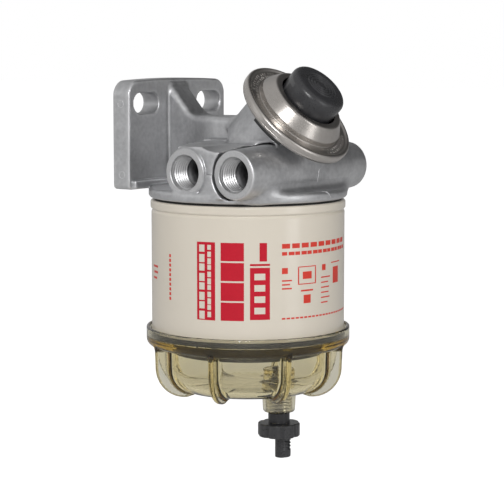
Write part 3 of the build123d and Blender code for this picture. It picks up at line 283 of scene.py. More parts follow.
def skin(field, low, high, step):
    """Skin of a distance field and its normals. One point in each grid cell that the skin crosses, at the
    mean of the crossings on the cell's edges, is slid down the field's slope onto the skin. Four
    neighbouring cells, round an edge that the skin crosses, make a face."""
    ticks = [np.arange(low[i], high[i] + step, step, dtype=np.float32) for i in range(3)]
    value = field(*np.meshgrid(*ticks, indexing="ij")).astype(np.float32)
    cells = np.array(value.shape) - 1
    cell_ids, crossings, rings, outwards = [], [], [], []
    for axis in range(3):
        ahead = np.roll(np.arange(3), -axis)
        first, second = [slice(None)] * 3, [slice(None)] * 3
        first[axis], second[axis] = slice(0, -1), slice(1, None)
        f0, f1 = value[tuple(first)], value[tuple(second)]
        where = np.argwhere((f0 < 0) != (f1 < 0))
        picked = tuple(where.T)
        point = where.astype(np.float64)
        point[:, axis] += f0[picked] / (f0[picked] - f1[picked])
        corners = []
        for a, b in ((0, 0), (1, 0), (1, 1), (0, 1)):
            cell = where.copy()
            cell[:, ahead[1]] -= a
            cell[:, ahead[2]] -= b
            corners.append((cell[:, 0] * cells[1] + cell[:, 1]) * cells[2] + cell[:, 2])
            cell_ids.append(corners[-1])
            crossings.append(point)
        rings.append(np.stack(corners, 1))
        outwards.append(f0[picked] < 0)
    used, index = np.unique(np.concatenate(cell_ids), return_inverse=True)
    crossings, count = np.concatenate(crossings), np.bincount(index)
    mean = np.stack([np.bincount(index, crossings[:, i]) / count for i in range(3)], 1)
    points = np.array(low, float) + mean * step
    faces = np.searchsorted(used, np.concatenate(rings))
    inwards = ~np.concatenate(outwards)
    faces[inwards] = faces[inwards][:, ::-1]
    for _ in range(4):
        slope = field_slope(field, points, 0.02)
        stride = field(*points.T) / np.maximum((slope**2).sum(1), 0.3)
        points = points - slope * np.clip(stride, -0.3 * step, 0.3 * step)[:, None]
    slope = field_slope(field, points, 0.12)
    return points, faces, slope / np.linalg.norm(slope, axis=1)[:, None]


# Parametric surfaces: each shape is a pair, its points and its faces


def outline(corners, arc=7, least=0.0):
    """Closed outline through corners (radius, height, rounding). Each corner gives way to an arc of that
    radius, which touches both sides at the rounding over the tangent of half the corner's angle."""
    line = []
    count = len(corners)
    for i, corner in enumerate(corners):
        here = np.array(corner[:2], float)
        before = np.array(corners[i - 1][:2], float) - here
        after = np.array(corners[(i + 1) % count][:2], float) - here
        rounding = corner[2] if len(corner) > 2 else least
        back, ahead = before / np.linalg.norm(before), after / np.linalg.norm(after)
        half = 0.5 * np.arccos(np.clip(back @ ahead, -1, 1))
        if rounding <= 0 or half > 1.55:
            line.append(here[None])
            continue
        reach = rounding / np.tan(half)
        bisector = (back + ahead) / np.linalg.norm(back + ahead)
        centre = here + bisector * rounding / np.sin(half)
        start, end = here + back * reach - centre, here + ahead * reach - centre
        sweep = pi - 2 * half
        t = np.linspace(0, 1, arc)[:, None]
        line.append(centre + (start * np.sin((1 - t) * sweep) + end * np.sin(t * sweep)) / np.sin(sweep))
    return np.concatenate(line)


def lattice(rows, columns, close_rows, close_columns):
    """Quads between neighbouring points of a grid, wrapped round where a direction is closed."""
    i = np.arange(rows if close_rows else rows - 1)[:, None] * columns
    j = np.arange(columns if close_columns else columns - 1)[None, :]
    up, side = (i + columns) % (rows * columns), (j + 1) % columns
    return np.stack([a.ravel() for a in np.broadcast_arrays(i + j, i + side, up + side, up + j)], 1)


def turned(line, turns=160, wave=None):
    """Outline turned round the Z axis: x is radius times cosine, y radius times sine; wave may change the
    radii, given the angle."""
    angle = np.linspace(0, 2 * pi, turns, endpoint=False)[None, :]
    radius, height = line[:, :1] + 0 * angle, line[:, 1:] + 0 * angle
    if wave is not None:
        radius = wave(radius, height, angle)
    points = np.stack([radius * np.cos(angle), radius * np.sin(angle), height], 2)
    return points.reshape(-1, 3), lattice(len(line), turns, True, True)


def screw(threaded, pitch, depth):
    """Wave that cuts a thread where threaded is above zero: the radius less the depth times a ridge that
    climbs by one pitch a turn. The ridge is a triangle wave, eased at crest and root."""

    def wave(radius, height, angle):
        saw = np.abs(2 * ((height / pitch - angle / (2 * pi)) % 1.0) - 1)
        return radius - depth * threaded[:, None] * (saw * saw * (3 - 2 * saw))

    return wave


def thread_line(before, radius, rows, after):
    """Outline with a stretch of closely spaced points for a thread, and how much each point is threaded."""
    stretch = np.stack([np.full_like(rows, radius), rows], 1)
    threaded = np.concatenate([np.zeros(len(before)), np.ones(len(rows)), np.zeros(len(after))])
    return np.concatenate([before, stretch, after]), threaded


def slab(u0, u1, v0, v1, low, high, across, along):
    """Closed block, as three coordinates that the caller bends: a section of two rows of points, carried
    along v, its ends shut by a section that lies flat at half height."""
    u = np.linspace(u0, u1, across)
    section_u = np.concatenate([u, u[::-1]])
    section_h = np.concatenate([np.full(across, high), np.full(across, low)])
    v = np.linspace(v0, v1, along)
    v = np.concatenate([v[:1], v, v[-1:]])
    shut = np.zeros(len(v))
    shut[[0, -1]] = 1
    height = section_h * (1 - shut[:, None]) + 0.5 * (low + high) * shut[:, None]
    points = np.stack([section_u + 0 * height, v[:, None] + 0 * height, height], 2)
    return points.reshape(-1, 3), lattice(len(v), 2 * across, False, True)


def bead(path, radius):
    """Round bead along a line of points: circles square to the line, each shrunk to a point at the ends."""
    along = np.gradient(path, axis=0)
    along /= np.linalg.norm(along, axis=1)[:, None]
    first = np.cross(along, [0.37, 0.81, 0.45])
    first /= np.linalg.norm(first, axis=1)[:, None]
    second = np.cross(along, first)
    reach = np.full(len(path), radius)
    reach[[0, -1]] = 0
    turn = np.linspace(0, 2 * pi, 8, endpoint=False)[None, :, None]
    ring = first[:, None] * np.cos(turn) + second[:, None] * np.sin(turn)
    points = path[:, None] + ring * reach[:, None, None]
    return points.reshape(-1, 3), lattice(len(path), 8, False, True)


def joined(parts):
    """Several shapes as one."""
    offsets = np.cumsum([0] + [len(points) for points, _ in parts[:-1]])
    points = np.concatenate([points for points, _ in parts])
    return points, np.concatenate([faces + offset for (_, faces), offset in zip(parts, offsets)])


def placed(shape, place):
    """A shape with its points taken from its own axes to the part's by a function."""
    points, faces = shape
    return place(points), faces


def on_can(points):
    """From the can's own axes to the part's."""
    return points + np.array([0, CAN_Y, 0])


def on_drain(points):
    """From the drain valve's own axes to the part's."""
    return points + np.array([DRAIN_X, DRAIN_Y, 0])


def on_pump(points):
    """From the pump's own axes, with Z along the plunger, to the part's."""
    x, y, z = points.T
    return np.stack([x, PUMP_Y + (y - z) * SLOPE, PUMP_Z + (y + z) * SLOPE], 1)


def weld(points, faces):
    """Points at the same place made one. A face that then lacks one corner becomes a triangle, and one
    that lacks more is dropped."""
    reach = 2e-4
    key = np.round(points / reach).astype(np.int64)
    _, first, index = np.unique(key, axis=0, return_index=True, return_inverse=True)
    faces = index.ravel()[faces]
    same = faces == np.roll(faces, -1, 1)
    lost = same.sum(1) == 1
    keep = (same[lost].argmax(1)[:, None] + np.array([1, 2, 3])) % 4
    groups = [faces[same.sum(1) == 0], np.take_along_axis(faces[lost], keep, 1)]
    return points[first], [group for group in groups if len(group)]


def face_normals(points, groups):
    """Normal at each point: the sum of its faces' cross products, so that larger faces count for more."""
    normals = np.zeros_like(points)
    for group in groups:
        corner = [points[group[:, k]] for k in range(group.shape[1])]
        if len(corner) == 3:
            across = np.cross(corner[1] - corner[0], corner[2] - corner[0])
        else:
            across = np.cross(corner[2] - corner[0], corner[3] - corner[1])
        for k in range(len(corner)):
            for axis in range(3):
                normals[:, axis] += np.bincount(group[:, k], across[:, axis], len(points))
    return normals / np.maximum(np.linalg.norm(normals, axis=1), 1e-12)[:, None]


def piece(name, shape, look, body, replaced=(), normals=None):
    """One mesh object from whole arrays of points and faces, in millimetres, with its faces turned
    outwards. Its points are welded unless it brings its own normals. It rides on a body, unless the
    caller blends it."""
    points, faces = shape
    groups = [faces]
    if normals is None:
        points, groups = weld(points, faces)
    volume = sum(
        np.einsum("ij,ij->", points[g[:, 0]], np.cross(points[g[:, k]], points[g[:, k + 1]]))
        for g in groups
        for k in range(1, g.shape[1] - 1)
    )
    if volume < 0:
        groups = [g[:, ::-1] for g in groups]
    if normals is None:
        normals = face_normals(points, groups)
    sizes = np.concatenate([np.full(len(g), g.shape[1]) for g in groups])
    mesh = bpy.data.meshes.new(name)
    mesh.vertices.add(len(points))
    mesh.vertices.foreach_set("co", (points * MM).astype(np.float32).ravel())
    mesh.loops.add(int(sizes.sum()))
    mesh.loops.foreach_set("vertex_index", np.concatenate([g.ravel() for g in groups]).astype(np.int32))
    mesh.polygons.add(len(sizes))
    mesh.polygons.foreach_set("loop_start", np.concatenate([[0], np.cumsum(sizes)[:-1]]).astype(np.int32))
    mesh.update(calc_edges=True)
    if mesh.validate():
        raise RuntimeError(f"{name} had faces that Blender dropped")
    mesh.shade_smooth()
    mesh.normals_split_custom_set_from_vertices(normals.astype(np.float32))
    mesh.materials.append(finishes[look])
    thing = bpy.data.objects.new(name, mesh)
    bpy.context.scene.collection.objects.link(thing)
    if body:
        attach(thing, body)
    if replaced:
        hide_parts(*replaced)
    return thing


# Shader nodes and the effects that the finishes share


def add_node(tree, kind, inputs=None, **settings):
    """A node with its own settings and the values or links of its inputs."""
    node = tree.nodes.new(kind)
    for name, value in settings.items():
        setattr(node, name, value)
    for key, value in (inputs or {}).items():
        if isinstance(value, bpy.types.NodeSocket):
            tree.links.new(value, node.inputs[key])
        else:
            node.inputs[key].default_value = value
    return node


def mixed(tree, mask, low, high, kind="FLOAT"):
    """Value, or colour, that goes from low to high with a mask."""
    first, second, out = {"FLOAT": (2, 3, 0), "RGBA": (6, 7, 2)}[kind]
    return add_node(tree, "ShaderNodeMix", {0: mask, first: low, second: high}, data_type=kind).outputs[out]


def product(tree, a, b, **settings):
    """Two values multiplied."""
    return add_node(tree, "ShaderNodeMath", {0: a, 1: b}, operation="MULTIPLY", **settings).outputs[0]


def two_noises(tree, source, first, second, share):
    """Two noises mixed, each given by the socket of its scale and by its detail."""
    tones = []
    for scale, detail in (first, second):
        inputs = {"Vector": source.outputs["Vector"], "Scale": source.outputs[scale], "Detail": detail}
        tones.append(add_node(tree, "ShaderNodeTexNoise", inputs).outputs["Fac"])
    return mixed(tree, source.outputs[share], *tones)


def effect_group(name, inputs, outputs):
    """Empty shader node group with its inputs by name and value, where no value means a vector; returns
    it with its input and output nodes."""
    tree = bpy.data.node_groups.new(name, "ShaderNodeTree")
    for label, value in inputs.items():
        kind = "NodeSocketVector" if value is None else "NodeSocketFloat"
        socket = tree.interface.new_socket(name=label, in_out="INPUT", socket_type=kind)
        if value is not None:
            socket.default_value = value
    for label in outputs:
        tree.interface.new_socket(name=label, in_out="OUTPUT", socket_type="NodeSocketFloat")
    return tree, tree.nodes.new("NodeGroupInput"), tree.nodes.new("NodeGroupOutput")


def make_cloudy():
    """Uneven tone: a coarse and a fine noise mixed, with the middle of their range spread from 0 to 1."""
    inputs = {"Vector": None, "Coarse scale": 40.0, "Fine scale": 400.0, "Fine share": 0.4}
    tree, source, result = effect_group("Cloudy tone", inputs, ["Mask"])
    tone = two_noises(tree, source, ("Coarse scale", 3.0), ("Fine scale", 2.0), "Fine share")
    span = {"Value": tone, "From Min": 0.3, "From Max": 0.7}
    spread = add_node(tree, "ShaderNodeMapRange", span, clamp=True)
    tree.links.new(spread.outputs["Result"], result.inputs["Mask"])
    return tree


def make_edge_finder():
    """Where the surface bends outwards and inwards, as masks between 0 and 1: pointiness less a half, or its
    opposite, times the sharpness. Outward edges are lightened with it as a painted highlight and as wear,
    hollows darkened as painted shade and as dust."""
    tree, source, result = effect_group("Edge finder", {"Sharpness": 12.0}, ["Highlight and wear", "Shade and dust"])
    shape = add_node(tree, "ShaderNodeNewGeometry")
    bend = add_node(tree, "ShaderNodeMath", {0: shape.outputs["Pointiness"], 1: 0.5}, operation="SUBTRACT")
    for label, way in (("Highlight and wear", bend.outputs[0]), ("Shade and dust", product(tree, bend.outputs[0], -1.0))):
        mask = product(tree, way, source.outputs["Sharpness"], use_clamp=True)
        tree.links.new(mask, result.inputs[label])
    return tree


def make_relief():
    """Fine relief as a height: grains of one size with a softer swell under them."""
    inputs = {"Vector": None, "Grain scale": 900.0, "Swell scale": 120.0, "Swell share": 0.5}
    tree, source, result = effect_group("Fine relief", inputs, ["Height"])
    height = two_noises(tree, source, ("Grain scale", 2.0), ("Swell scale", 1.0), "Swell share")
    tree.links.new(height, result.inputs["Height"])
    return tree


def textured(name, rough, scales, grain, depth, **shader):
    """Material with a cloudy roughness and a fine relief, and the mask of its clouds. Shader gives other
    inputs by name, with an underscore for a space."""
    material = bpy.data.materials.new(name)
    material.use_nodes = True
    tree = material.node_tree
    principled = tree.nodes["Principled BSDF"]
    for key, value in shader.items():
        principled.inputs[key.replace("_", " ")].default_value = value
    place = add_node(tree, "ShaderNodeTexCoord").outputs["Object"]
    cloud_inputs = dict(zip(("Vector", "Coarse scale", "Fine scale", "Fine share"), (place, *scales)))
    mask = add_node(tree, "ShaderNodeGroup", cloud_inputs, node_tree=effects["cloudy"]).outputs["Mask"]
    dull = add_node(tree, "ShaderNodeMapRange", {"Value": mask, "To Min": rough[0], "To Max": rough[1]})
    tree.links.new(dull.outputs["Result"], principled.inputs["Roughness"])
    relief_inputs = dict(zip(("Vector", "Grain scale", "Swell scale", "Swell share"), (place, *grain)))
    relief = add_node(tree, "ShaderNodeGroup", relief_inputs, node_tree=effects["relief"])
    bump_inputs = {"Height": relief.outputs["Height"], "Distance": depth, "Strength": 1.0}
    bump = add_node(tree, "ShaderNodeBump", bump_inputs)
    tree.links.new(bump.outputs["Normal"], principled.inputs["Normal"])
    return material, mask


def finish(
    name,
    low,
    high,
    rough=(0.4, 0.5),
    metallic=0.0,
    scales=(40.0, 400.0, 0.4),
    grain=(900.0, 120.0, 0.5),
    depth=0.00002,
    edge_highlight_and_wear=None,
    hollow_shade_and_dust=None,
    **shader,
):
    """Material of one finish: cloudy colour and roughness, edges lighter as a painted highlight and as wear,
    hollows darker as painted shade and as dust, and a fine relief."""
    material, mask = textured(name, rough, scales, grain, depth, Metallic=metallic, **shader)
    tree = material.node_tree
    colour = mixed(tree, mask, (*low, 1), (*high, 1), "RGBA")
    edges = add_node(tree, "ShaderNodeGroup", node_tree=effects["edges"])
    # Outward edges take a lighter tone, a painted highlight as well as wear, and hollows a darker one,
    # painted shade as well as dust.
    for key, tone in (("Highlight and wear", edge_highlight_and_wear), ("Shade and dust", hollow_shade_and_dust)):
        if tone is not None:
            colour = mixed(tree, edges.outputs[key], colour, (*tone, 1), "RGBA")
    tree.links.new(colour, tree.nodes["Principled BSDF"].inputs["Base Color"])
    return material


def make_clear_plastic():
    """Clear moulding: full transmission over a faint amber body that deepens with the way through it."""
    material, _ = textured(
        "Clear moulding",
        (0.015, 0.05),
        (30.0, 400.0, 0.4),
        (90.0, 25.0, 0.5),
        0.0003,
        Base_Color=(0.985, 0.975, 0.94, 1),
        Transmission_Weight=1.0,
        IOR=1.5,
        Metallic=0.0,
    )
    tree = material.node_tree
    body = add_node(tree, "ShaderNodeVolumeAbsorption", {"Color": (0.91, 0.74, 0.03, 1), "Density": 72.0})
    tree.links.new(body.outputs[0], tree.nodes["Material Output"].inputs["Volume"])
    return material


effects = {}
finishes = {}


def make_finishes(paint, print_colour, plastic):
    """Every finish of the part, by the record's slot names, with the finishes that share a slot."""
    effects.update(cloudy=make_cloudy(), edges=make_edge_finder(), relief=make_relief())
    finishes["die_cast"] = finish(
        "Die-cast metal",
        (0.40, 0.402, 0.412),
        (0.60, 0.602, 0.61),
        rough=(0.31, 0.5),
        metallic=0.86,
        scales=(80.0, 420.0, 0.5),
        grain=(1500.0, 160.0, 0.55),
        depth=0.00010,
        # Edges go lighter as a painted highlight and as wear, hollows darker as painted shade and as dust.
        edge_highlight_and_wear=(0.72, 0.72, 0.73),
        hollow_shade_and_dust=(0.20, 0.20, 0.21),
    )
    for slot, name, low, high, rough, more in (
        (
            "machined",
            "Machined metal",
            (0.52, 0.52, 0.525),
            (0.63, 0.63, 0.635),
            (0.34, 0.44),
            {"scales": (60.0, 900.0, 0.6)},
        # Dark cast wall deep in the ports: its low tone is painted shade of the deep passages.
        ),
        (
            "dull_cast",
            "Port wall in painted shade",
            (0.12, 0.12, 0.125),
            (0.21, 0.21, 0.215),
            (0.5, 0.65),
            {"depth": 0.00006},
        ),
        ("plated_steel", "Zinc-plated steel", (0.52, 0.51, 0.48), (0.64, 0.63, 0.60), (0.28, 0.4), {}),
        (
            "stamped_steel",
            "Stamped steel",
            (0.465, 0.438, 0.411),
            (0.56, 0.533, 0.506),
            (0.26, 0.35),
            {"scales": (22.0, 500.0, 0.3)},
        ),
        ("spring_steel", "Bright wire", (0.5, 0.5, 0.5), (0.62, 0.62, 0.62), (0.2, 0.3), {}),
        ("ring_alloy", "Turned alloy", (0.5, 0.5, 0.51), (0.62, 0.62, 0.63), (0.25, 0.36), {}),
    ):
        finishes[slot] = finish(name, low, high, rough=rough, metallic=1.0, **more)
    finishes["can_paint"] = finish(
        "Cream enamel",
        tuple(0.985 * c for c in paint),
        tuple(min(1.0, 1.015 * c) for c in paint),
        rough=(0.27, 0.3),
        scales=(9.0, 120.0, 0.25),
        grain=(700.0, 60.0, 0.2),
        depth=0.000012,
        Coat_Weight=0.3,
        Coat_Roughness=0.12,
    )
    ink = {"rough": (0.32, 0.4), "scales": (60.0, 900.0, 0.5), "depth": 0.00001, "Specular_IOR_Level": 0.2}
    for slot, name, low, high in (
        ("print", "Red print", tuple(0.9 * c for c in print_colour), print_colour),
        ("fine_print", "Fine print", (0.62, 0.045, 0.03), (0.70, 0.06, 0.04)),
    ):
        finishes[slot] = finish(name, low, high, **ink)
    finishes["black_plastic"] = finish(
        "Black moulding",
        plastic,
        tuple(1.5 * c for c in plastic),
        rough=(0.24, 0.34),
        scales=(60.0, 700.0, 0.5),
        grain=(1800.0, 200.0, 0.4),
        depth=0.00003,
        # Its edges go lighter, a painted highlight as well as wear.
        edge_highlight_and_wear=(0.07, 0.07, 0.072),
    )
    finishes["white_plastic"] = finish("White moulding", (0.7, 0.69, 0.65), (0.8, 0.79, 0.75))
    finishes["rubber"] = finish(
        "Black rubber", (0.016, 0.016, 0.016), (0.03, 0.03, 0.03), rough=(0.55, 0.7), depth=0.00004
    )
    finishes["media_paper"] = finish(
        "Pleated paper",
        (0.6, 0.47, 0.27),
        (0.75, 0.62, 0.4),
        rough=(0.8, 0.9),
        grain=(2500.0, 300.0, 0.3),
        depth=0.00015,
    )
    finishes["clear_plastic"] = make_clear_plastic()


# Sizes and colours that a user may change


def length_property(name, description, default):
    """A length in metres that a user may change."""
    return bpy.props.FloatProperty(name=name, description=description, default=default, unit="LENGTH")


def colour_property(name, description, default):
    """A colour that a user may change."""
    return bpy.props.FloatVectorProperty(
        name=name, description=description, subtype="COLOR", default=default
    )


class HeadSizes(bpy.types.PropertyGroup):
    thread_pitch: length_property("Port thread pitch", "Pitch of the pipe thread in the ports", 0.001814)
    thread_depth: length_property("Port thread depth", "Depth of the pipe thread in the ports", 0.0009)
    skin_step: length_property("Casting mesh step", "Grid step of the casting's skin", 0.0009)


class PumpSizes(bpy.types.PropertyGroup):
    ring_depth: length_property("Button groove depth", "Depth of the rings in the button's top", 0.0006)


class ElementSizes(bpy.types.PropertyGroup):
    print_height: length_property("Print thickness", "How far the print stands on the enamel", 0.00004)
    paint: colour_property("Can colour", "Colour of the enamel", (0.70, 0.64, 0.545))
    print_colour: colour_property("Print colour", "Colour of the print", (0.56, 0.012, 0.03))


class BowlSizes(bpy.types.PropertyGroup):
    skin_step: length_property("Bowl mesh step", "Grid step of the bowl's skin", 0.0009)
    plastic: colour_property(
        "Moulding colour", "Colour of the button and the drain valve", (0.021, 0.021, 0.023)
    )


# Pieces


def extra_radius(mouth):
    """How much wider the threads of the open ports, on the left, are than those of the plugged ports."""
    return 1.1 if mouth < 0 else 0.0


def in_port(shape, mouth, row):
    """A turned shape set in a port, with its axis along X and running inwards from the mouth."""
    inwards = -np.sign(mouth)
    return placed(
        shape, lambda p: np.stack([mouth + inwards * p[:, 2], row + p[:, 0], PORT_Z + p[:, 1] * inwards], 1)
    )


def port_insert(mouth, row, sizes):
    """Machined face and threaded lining of a port. The lining narrows inwards, and the rings on the face
    are a fine cosine wave of its height."""
    pitch, depth = sizes.thread_pitch / MM, sizes.thread_depth / MM
    wide = extra_radius(mouth)
    start, end, ring_width = 0.9, 13.2, 0.64
    back, crest, narrowing = 9.4 + wide, 8.3 + wide, 0.03
    rows = np.arange(start, end, pitch / 8)
    lands = np.arange(12.2, 8.75 + wide, -ring_width / 4)
    rings = np.stack([lands, 0.012 * (1 + np.cos(lands * 2 * pi / ring_width))], 1)
    rim = [[back, 1.0], [12.42, 1.0], [12.42, 0.12], [12.3, 0.0]]
    before = np.concatenate([rim, rings, [[8.7 + wide, 0.0], [8.35 + wide, 0.4]]])
    line, threaded = thread_line(before, crest - narrowing * rows, rows, [[back, end]])
    threaded[len(before) : -1] = np.clip((rows - start) / pitch, 0, 1)
    return in_port(turned(line, 128, screw(threaded, pitch, depth)), mouth, row)


def port_liner(mouth, row):
    """Cast wall of a port behind its thread, dark as painted shade of the deep passage: wide at first, then
    narrow in the through passage.
    """
    wide = extra_radius(mouth)
    inside = [(8.6 + wide, 13.2), (8.6 + wide, 15.3), (5.05, 15.3), (5.05, 44.0)]
    outside = [(5.4, 44.0), (5.4, 15.7), (8.95 + wide, 15.7), (8.95 + wide, 13.2)]
    return in_port(turned(np.array(inside + outside), 64), mouth, row)


def plug(row):
    """Hex socket plug: a turned outline whose inner radii follow a hexagon, half its width over the
    cosine of the angle from the nearest flat."""
    socket = [(0, -9.0), (4.75, -9.0, 0.3), (4.75, -2.0, 0.35)]
    line = outline([(7.1, -2.0, 0.5), (7.1, -13.0), (0, -13.0), *socket], 5)
    hexed = (line[:, 0] > 3) & (line[:, 0] < 5.6)

    def wave(radius, height, angle):
        from_flat = (angle + pi / 6) % (pi / 3) - pi / 6
        return np.where(hexed[:, None], radius / np.cos(from_flat), radius)

    return placed(
        turned(line, 96, wave), lambda p: np.stack([PORT_FACE + p[:, 2], row + p[:, 0], PORT_Z + p[:, 1]], 1)
    )


def ejector_mark(y, z):
    """Ring that an ejector pin leaves on the plate's end face: a low turned ridge, its axis along X."""
    ring = turned(outline([(1.7, -0.3), (2.25, -0.3), (2.25, 0.14, 0.12), (1.7, 0.14, 0.12)], 4), 40)
    return placed(ring, lambda p: np.stack([-PLATE_SIDE - p[:, 2], y + p[:, 0], z - p[:, 1]], 1))


def parting_line():
    """Raised seam where the die's halves met: down the front boss, and down the flange's edge."""
    boss_radius, seam_radius = 15.23, 0.26
    lift = np.radians(np.linspace(13.0, -46.0, 26))
    drift = np.interp(np.degrees(lift), [-46, -19, 0, 6, 13], [5.8, 2.6, 2.7, 4.6, 9.0])
    on_boss = [drift, FRONT_PORT - boss_radius * np.cos(lift), PORT_Z + boss_radius * np.sin(lift)]
    fall = np.linspace(0, 1, 14)
    turn = np.radians(-94.5 + 5.5 * fall)
    out = np.interp(fall, [0, 0.5, 0.7, 1], [53.0, 54.9, 55.45, 55.5])
    height = np.interp(fall, [0, 0.5, 0.7, 1], [-46.2, -46.6, -47.8, -50.0])
    on_flange = [out * np.cos(turn), CAN_Y + out * np.sin(turn), height]
    return [bead(np.stack(path, 1), seam_radius) for path in (on_boss, on_flange)]


def make_head(sizes):
    """Head: the casting's two skins, what lines its ports, its small marks, the plugs and the threaded
    nipple."""
    step = sizes.skin_step / MM
    for name, field, low, high, replaced in (
        ("head_casting_skin", head_field, (-56, -130.0, -54), (56, 2, 16.5), ["head_casting"]),
        ("front_boss_skin", front_boss_field, (-56, -110.0, -53), (56, -76, -18), []),
    ):
        points, faces, normals = skin(field, low, high, step)
        piece(name, (points, faces), "die_cast", "head", replaced, normals)
    ports = [(mouth, row) for mouth in (-PORT_FACE, PORT_FACE) for row in (REAR_PORT, FRONT_PORT)]
    piece("port_threads", joined([port_insert(*port, sizes) for port in ports]), "machined", "head")
    piece("port_liners", joined([port_liner(*port) for port in ports]), "dull_cast", "head")
    marks = [ejector_mark(-6.06, -0.26), ejector_mark(-6.6, -39.77)]
    piece("casting_marks", joined(marks + parting_line()), "die_cast", "head")
    plugs = joined([plug(REAR_PORT), plug(FRONT_PORT)])
    piece("port_plugs_turned", plugs, "plated_steel", "head", ["port_plugs"])
    pitch, depth, bore, crest = 1.8143, 0.9, 7.0, 12.55
    rows = np.arange(SEAT - 18.6, SEAT + 8.0, pitch / 8)
    before = [[bore, SEAT + 9.0], [bore, SEAT - 19.4], [7.1, SEAT - 19.5], [11.4, SEAT - 19.5]]
    line, threaded = thread_line(before, crest, rows, [[crest, SEAT + 9.0]])
    nipple = placed(turned(line, 96, screw(threaded, pitch, depth)), on_can)
    piece("nipple_thread", nipple, "plated_steel", "head", ["element_nipple"])


def diaphragm_and_spring():
    """Diaphragm in three rings, and its return spring. The plunger carries the centre, the head carries the
    rim and the coil, and the roll rides on neither. The roll is a half circle about its middle, and the coil
    a helix."""
    flat, sheet, middle, reach, edge = -1.7, 1.0, 17.6, 3.6, 32.9
    under = flat - sheet
    arc = np.radians(np.linspace(180, 90, 12))
    radii = (reach, reach - sheet)
    outer, inner = (np.stack([middle + r * np.cos(arc), flat + r * np.sin(arc)], 1) for r in radii)

    def mirrored(half):
        return half * np.array([-1, 1]) + np.array([2 * middle, 0])

    centre = [[STEM_HOLE, flat], [14.0, flat], [14.0, under], [STEM_HOLE, under]]
    roll_foot = [[middle - reach + sheet, under], [middle - reach, under]]
    rim_foot = [[edge, flat], [edge, under], [middle + reach - sheet, under]]
    for name, body, line in (
        ("diaphragm_centre", "pump_plunger", np.array(centre)),
        ("diaphragm_roll", None, np.concatenate([outer, inner[::-1], roll_foot])),
        ("diaphragm_rim", "head", np.concatenate([mirrored(outer[::-1]), rim_foot, mirrored(inner)])),
    ):
        ring = piece(name, placed(turned(line, 96), on_pump), "rubber", body, ["pump_diaphragm"])
        if name == "diaphragm_roll":
            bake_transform(ring)
    floor, top, wire, coil_radius, coil_pitch, push = CHAMBER_FLOOR, -3.9, 0.6, 5.4, 2.4, 8.0
    height = np.linspace(floor + wire, top - wire, 200)
    turn = (height - height[0]) * 2 * pi / coil_pitch
    helix = bead(np.stack([coil_radius * np.cos(turn), coil_radius * np.sin(turn), height], 1), wire)
    coil = piece("pump_spring_coil", placed(helix, on_pump), "spring_steel", "head", ["pump_spring"])
    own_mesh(coil)


def bent(points):
    """From degrees, radius and height to places round the Z axis: x is radius times cosine, y radius
    times sine."""
    turn = np.radians(points[:, 0])
    return np.stack([points[:, 1] * np.cos(turn), points[:, 1] * np.sin(turn), points[:, 2]], 1)


def make_pump(sizes):
    """Pump: the pressed cover, a turned hat rolled round the housing's lip, with its stamped marks and a
    black strip of painted shadow under its hem, then the diaphragm and its spring, and the button with rings
    in its top."""
    hat = [(17.4, 8.8, 0.3), (20.9, 8.8, 2.3), (25.7, 2.1, 0.8), (25.9, -0.9, 0.5), (31.0, -0.9, 1.6)]
    rolled_edge = [
        (32.4, 0, 1.1),
        (34.3, 0, 1.8),
        (34.3, -3.3, 0.25),
        (33.95, -3.55, 0.15),
        (34.3, -3.8, 0.4),
        (33.9, -5.3, 0.6),
        (30.3, -5.3),
        (30.3, -4.5),
        (33.2, -4.5),
    ]
    inside = [(33.2, -1.7), (24.95, -1.7), (24.8, 1.8, 0.6), (20.45, 8.0, 1.6), (17.4, 8.0, 0.3)]
    cover = placed(turned(outline(hat + rolled_edge + inside, 9), 224), on_pump)
    piece("pump_cover_pressed", cover, "stamped_steel", "head", ["pump_cover"])
    spacing = 4.9
    marks = [
        slab(start, start + 3.4 - 0.8 * (k % 3), inner, inner + 1.3, -1.1, -0.8, 5, 2)
        for inner, arcs in ((26.9, ((72, 158), (-100, -30))), (29.0, ((78, 140), (-94, -36))))
        for low, high in arcs
        for k, start in enumerate(np.arange(low, high, spacing))
    ]
    piece("pump_cover_marks", placed(placed(joined(marks), bent), on_pump), "stamped_steel", "head")
    # Black strip over one short arc under the cover's hem: painted shadow in the gap between hem and
    # housing.
    edge = slab(-183.0, -149.0, 31.0, 33.6, -6.9, -5.2, 30, 3)
    piece("hem_shadow_strip", placed(placed(edge, bent), on_pump), "rubber", "head")
    diaphragm_and_spring()
    groove = sizes.ring_depth / MM
    peak, crown, side, fall, half_groove = 20.9, 20.2, 16.6, 0.7, 0.75
    top = [(0, peak)]
    for ring in (3.1, 5.1, 7.0, 8.9):
        lift = peak - fall * (ring / side)
        top += [(ring - half_groove, lift, 0.3), (ring, lift - groove, 0.2), (ring + half_groove, lift, 0.3)]
    skirt = [(side, crown, 3.9), (side, 14.0, 16.6), (15.8, 3.6, 0.5), (13.6, 3.6, 0.3), (13.6, 18.7, 2.2)]
    socket = [(6.0, 18.7, 1.1), (6.0, -0.5), (STEM_HOLE, -0.5), (STEM_HOLE, 14.05), (0, 14.05)]
    button = placed(turned(outline(top + skirt + socket, 9), 160), on_pump)
    piece("pump_button_moulded", button, "black_plastic", "pump_plunger", ["pump_button"])


def can_ring(name, corners, look, body, replaced, turns=224):
    """Ring turned round the can's axis from the corners of its outline."""
    piece(name, placed(turned(outline(corners, 6, 0.3), turns), on_can), look, body, replaced)


def box_corners(inner, outer, low, high, below, above):
    """Corners of a ring with four sides, with the rounding below and above."""
    return [(inner, low, below), (outer, low, below), (outer, high, above), (inner, high, above)]


